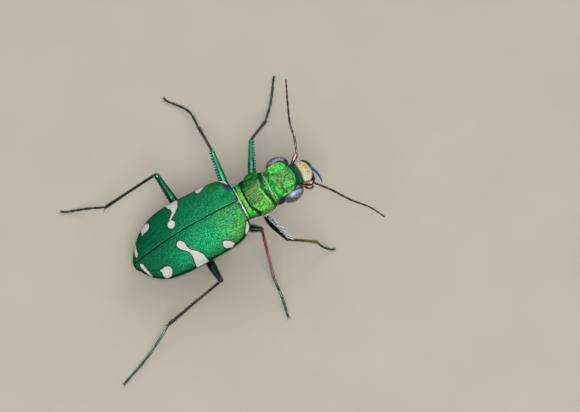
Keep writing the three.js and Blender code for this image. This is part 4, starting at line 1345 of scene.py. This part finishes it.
class Hairs:
    """Roots, directions and sizes of one kind of hair, with a cell of its bake map for each shell."""

    def __init__(self):
        self.roots, self.aims, self.reaches, self.breadths, self.places = [], [], [], [], []
        self.cell = 0

    def add(self, roots, aims, reach, breadth, shares):
        """Takes roots and aims in the row frame, in mm. Shares are the roots' places on their unrolled shell,
        from 0 to 1."""
        corner = np.array([self.cell % CELLS, self.cell // CELLS % CELLS, 0]) / CELLS
        spots = np.asarray(shares) * CELL_FILL / CELLS
        self.roots.append(roots)
        self.aims.append(aims)
        self.reaches.append(np.full(len(roots), reach))
        self.breadths.append(np.full(len(roots), breadth))
        self.places.append(corner + np.column_stack([spots, np.zeros(len(roots))]))
        self.cell += 1

    def on_limb(self, line, rows, count, reach, lean, span=HAIRY_SPAN, stray=0.3, breadth=1.0):
        """Rows of hairs along a limb, each at its angle round the limb from its right side, in degrees."""
        path, girths, number = line
        marks = np.arange(len(path))
        roots, aims, shares = [], [], []
        for row in rows:
            shifts = chances.uniform(-stray, stray, count)
            at = np.linspace(*span, count) + shifts * (span[1] - span[0]) / count
            turn = np.radians(row + chances.uniform(-20, 20, count) * stray)
            where = np.clip(at, 0, 1) * (len(path) - 1)
            centre = points_at(path, where, marks)
            ahead = np.gradient(path, axis=0)[where.astype(int)]
            ahead /= np.linalg.norm(ahead, axis=1, keepdims=True)
            right = np.cross(ahead, (0, 0, 1))
            right /= np.linalg.norm(right, axis=1, keepdims=True)
            out = right * np.cos(turn)[:, None] + np.cross(right, ahead) * np.sin(turn)[:, None]
            roots.append(centre + out * (np.interp(where, marks, girths) - ROOT_DEPTH)[:, None])
            wander = chances.uniform(-0.25, 0.25, (count, 3)) * stray
            aims.append(out * (1 - lean) + ahead * lean + wander)
            shares.append(np.column_stack([at, turn / (2 * np.pi) % 1]))
        self.add(np.vstack(roots), np.vstack(aims), reach, breadth, np.vstack(shares))

    def on_shell(self, rings, mask, count, reach, lean):
        """Hairs scattered over rings of shell, where the mask is true, leaning to the rear."""
        ring, spot = np.nonzero(mask)
        pick = chances.choice(len(ring), count, replace=False)
        ring, spot = ring[pick], spot[pick]
        normal = outward(rings)[ring, spot]
        wander = chances.uniform(-0.12, 0.12, (count, 3))
        aims = normal * (1 - lean) + np.array([-lean, 0, 0]) + wander
        shares = np.column_stack([ring / rings.shape[0], spot / rings.shape[1]])
        roots = in_row(rings[ring, spot] - ROOT_DEPTH * normal)
        self.add(roots, aims @ np.array(BODY_TURN).T, reach, SHELL_HAIR_BREADTH, shares)

    def grow(self, name, look, girth, bend, slot):
        """All the hairs as one piece."""
        mesh = bpy.data.meshes.new(name)
        mesh.from_pydata((np.vstack(self.roots) * MM).tolist(), [], [])
        aims = np.vstack(self.aims)
        aims /= np.linalg.norm(aims, axis=1, keepdims=True)
        keep(mesh, "aim", aims, "FLOAT_VECTOR")
        keep(mesh, "root", np.vstack(self.places), "FLOAT_VECTOR")
        keep(mesh, "reach", np.concatenate(self.reaches) * MM)
        keep(mesh, "breadth", np.concatenate(self.breadths))
        values = {"Girth": girth * MM, "Bend": bend, "Patch": HAIR_PATCH, "Seed": 3}
        piece(name, BRISTLE.make(name, mesh, look, values), None)


# Each thigh has the angles of its rows, then the hairs' number in a row, length, lean, disorder and breadth.
THIGH_ROWS = {
    "front_left": ((12, 36), 17, 0.14, 0.45, 0.1, 0.8),
    "front_right": ((86, 112, 138, 164, 190), 13, 0.42, 0.8, 0.35, 1.25),
    "middle_left": ((144, 168), 17, 0.14, 0.45, 0.1, 0.8),
    "middle_right": ((40, 140), 12, 0.36, 0.76, 0.2, 0.8),
    "hind_left": ((0, 180), 14, 0.12, 0.75, 0.2, 0.4),
    "hind_right": ((-20, 200), 14, 0.12, 0.75, 0.2, 0.4),
}
white, dark = Hairs(), Hairs()
for name, leg in legs.items():
    rows, count, reach, lean, stray, breadth = THIGH_ROWS[name]
    white.on_limb(leg["thigh"], rows, count, reach, lean, stray=stray, breadth=breadth)
    for between in np.array((0.35, 0.55, 0.75) if stray < 0.2 else (0.5,)) / count:
        span = np.add(HAIRY_SPAN, between)
        dark.on_limb(leg["thigh"], rows, count, reach, lean, span, stray, min(2 * breadth, 1.6))
    dark.on_limb(leg["shin"], (0, 70, 180, 270), 16, reach=0.15, lean=0.5)
    for line in leg["foot"]:
        dark.on_limb(line, (180, 215, 325, 360), 6, reach=0.08, lean=0.7, span=(0.3, 0.95))
x, y, z = np.moveaxis(head_rings, 2, 0)
white.on_shell(head_rings, (z < 0.1) & (x < 3.0), 50, reach=0.2, lean=0.4)
x, y, z = np.moveaxis(shield_rings, 2, 0)
white.on_shell(shield_rings, (z < 0.3) & (z > -0.5) & (x > 0.3), 260, reach=0.22, lean=0.6)
flank = (z > 0.3) & (z < 0.85) & (y < -1.1) & (x > 1.0) & (x < 2.15)
white.on_shell(shield_rings, flank, 34, reach=0.2, lean=0.72)
for sections, count in ((MIDDLE_THORAX, 200), (HIND_THORAX, 420), (ABDOMEN, 420)):
    rings = trunk(sections, 60, **BELLY_ROUNDNESS)
    underside = (rings[..., 2] < 0.25) & (rings[..., 2] > -0.95)
    white.on_shell(rings, underside, count, reach=0.24, lean=0.62)


def hair_look(name, metallic, tint, other, roughness):
    """Dull hair in two close tints that change from hair to hair."""
    look = Finish(name, {"Metallic": metallic}, "OFBake")
    look.colour = look.mix(look.noise(60), tint, other)
    return look.feed({"Roughness": look.noise(90) * 0.3 + roughness})


look = hair_look("white_hair", 0.0, (246, 247, 250), (214, 216, 220), 0.35)
white.grow("white_hairs", look, girth=0.044, bend=0.18, slot="ivory")
look = hair_look("dark_bristle", 0.1, (18, 20, 20), (52, 48, 42), 0.3)
dark.grow("dark_bristles", look, girth=0.018, bend=0.12, slot="jaw_dark")

# Floor, light and camera
# A plain pale table, soft light from a broad panel above the beetle's right side, and the photograph's view
# from a little behind and well above.
FLOOR_SIZE = 1.5
mesh = bpy.data.meshes.new("floor")
corners = [(FLOOR_SIZE * x, FLOOR_SIZE * y, 0) for x, y in ((-1, -1), (1, -1), (1, 1), (-1, 1))]
mesh.from_pydata(corners, [], [(0, 1, 2, 3)])
floor = bpy.data.objects.new("floor", mesh)
bpy.context.scene.collection.objects.link(floor)
look = Finish("floor_paper", {"Roughness": 0.85, "Specular IOR Level": 0.2})
look.place = look.node("ShaderNodeTexCoord", {}, {}, "Object")
look.colour = look.mix(look.noise(180, 4), (174, 167, 150), (186, 179, 162))
look.feed()
mesh.materials.append(look.material)

SKY_BELOW = (0.3, 0.3, 0.3, 1)
SKY_ABOVE = (0.9, 0.95, 1.0, 1)
SKY_STRENGTH = 0.7
world = bpy.data.worlds.new("studio")
bpy.context.scene.world = world
world.use_nodes = True
sky = Net(world.node_tree)
heading = sky.node("ShaderNodeTexCoord", {}, {}, "Generated")
height = sky.node("ShaderNodeSeparateXYZ", {}, {0: heading}, 2)
share = sky.node("ShaderNodeMapRange", {}, {"Value": height, "From Min": -0.05, "From Max": 0.9})
low_and_high = {0: share, 6: SKY_BELOW, 7: SKY_ABOVE}
sky_colour = sky.node("ShaderNodeMix", {"data_type": "RGBA"}, low_and_high, 2)
background = world.node_tree.nodes["Background"]
world.node_tree.links.new(sky_colour.socket, background.inputs["Color"])
background.inputs["Strength"].default_value = SKY_STRENGTH

for name, place, size, watts in (
    ("key", (-0.06, -0.16, 0.26), 0.2, 0.62),
    ("fill", (0.2, 0.16, 0.2), 0.2, 0.25),
):
    lamp = bpy.data.lights.new(name, "AREA")
    lamp.shape = "DISK"
    lamp.size = size
    lamp.energy = watts
    holder = bpy.data.objects.new(name, lamp)
    holder.location = place
    holder.rotation_euler = Vector(place).to_track_quat("Z", "Y").to_euler()
    bpy.context.scene.collection.objects.link(holder)

# The view looks at this place of the body's ground plan, in mm, and the lens has this length in pixels.
AIM = (3.636, -0.033, 0.0)
AZIMUTH = math.radians(-26.1)
ELEVATION = math.radians(66)
DISTANCE = 260
FOCAL_PIXELS = 3835
PHOTO_WIDTH = 580
SENSOR_WIDTH = 36
NEAREST = 0.01
back = Vector((
    math.sin(AZIMUTH) * math.cos(ELEVATION),
    -math.cos(AZIMUTH) * math.cos(ELEVATION),
    math.sin(ELEVATION),
))
lens = bpy.data.cameras.new("camera")
lens.sensor_width = SENSOR_WIDTH
lens.lens = SENSOR_WIDTH * FOCAL_PIXELS / PHOTO_WIDTH
lens.clip_start = NEAREST
camera = bpy.data.objects.new("camera", lens)
camera.location = (Vector(AIM) + Vector((BODY_HOME.x, BODY_HOME.y, 0)) + back * DISTANCE) * MM
camera.rotation_euler = back.to_track_quat("Z", "Y").to_euler()
bpy.context.scene.collection.objects.link(camera)
bpy.context.scene.camera = camera
bpy.context.scene.view_settings.view_transform = "Standard"
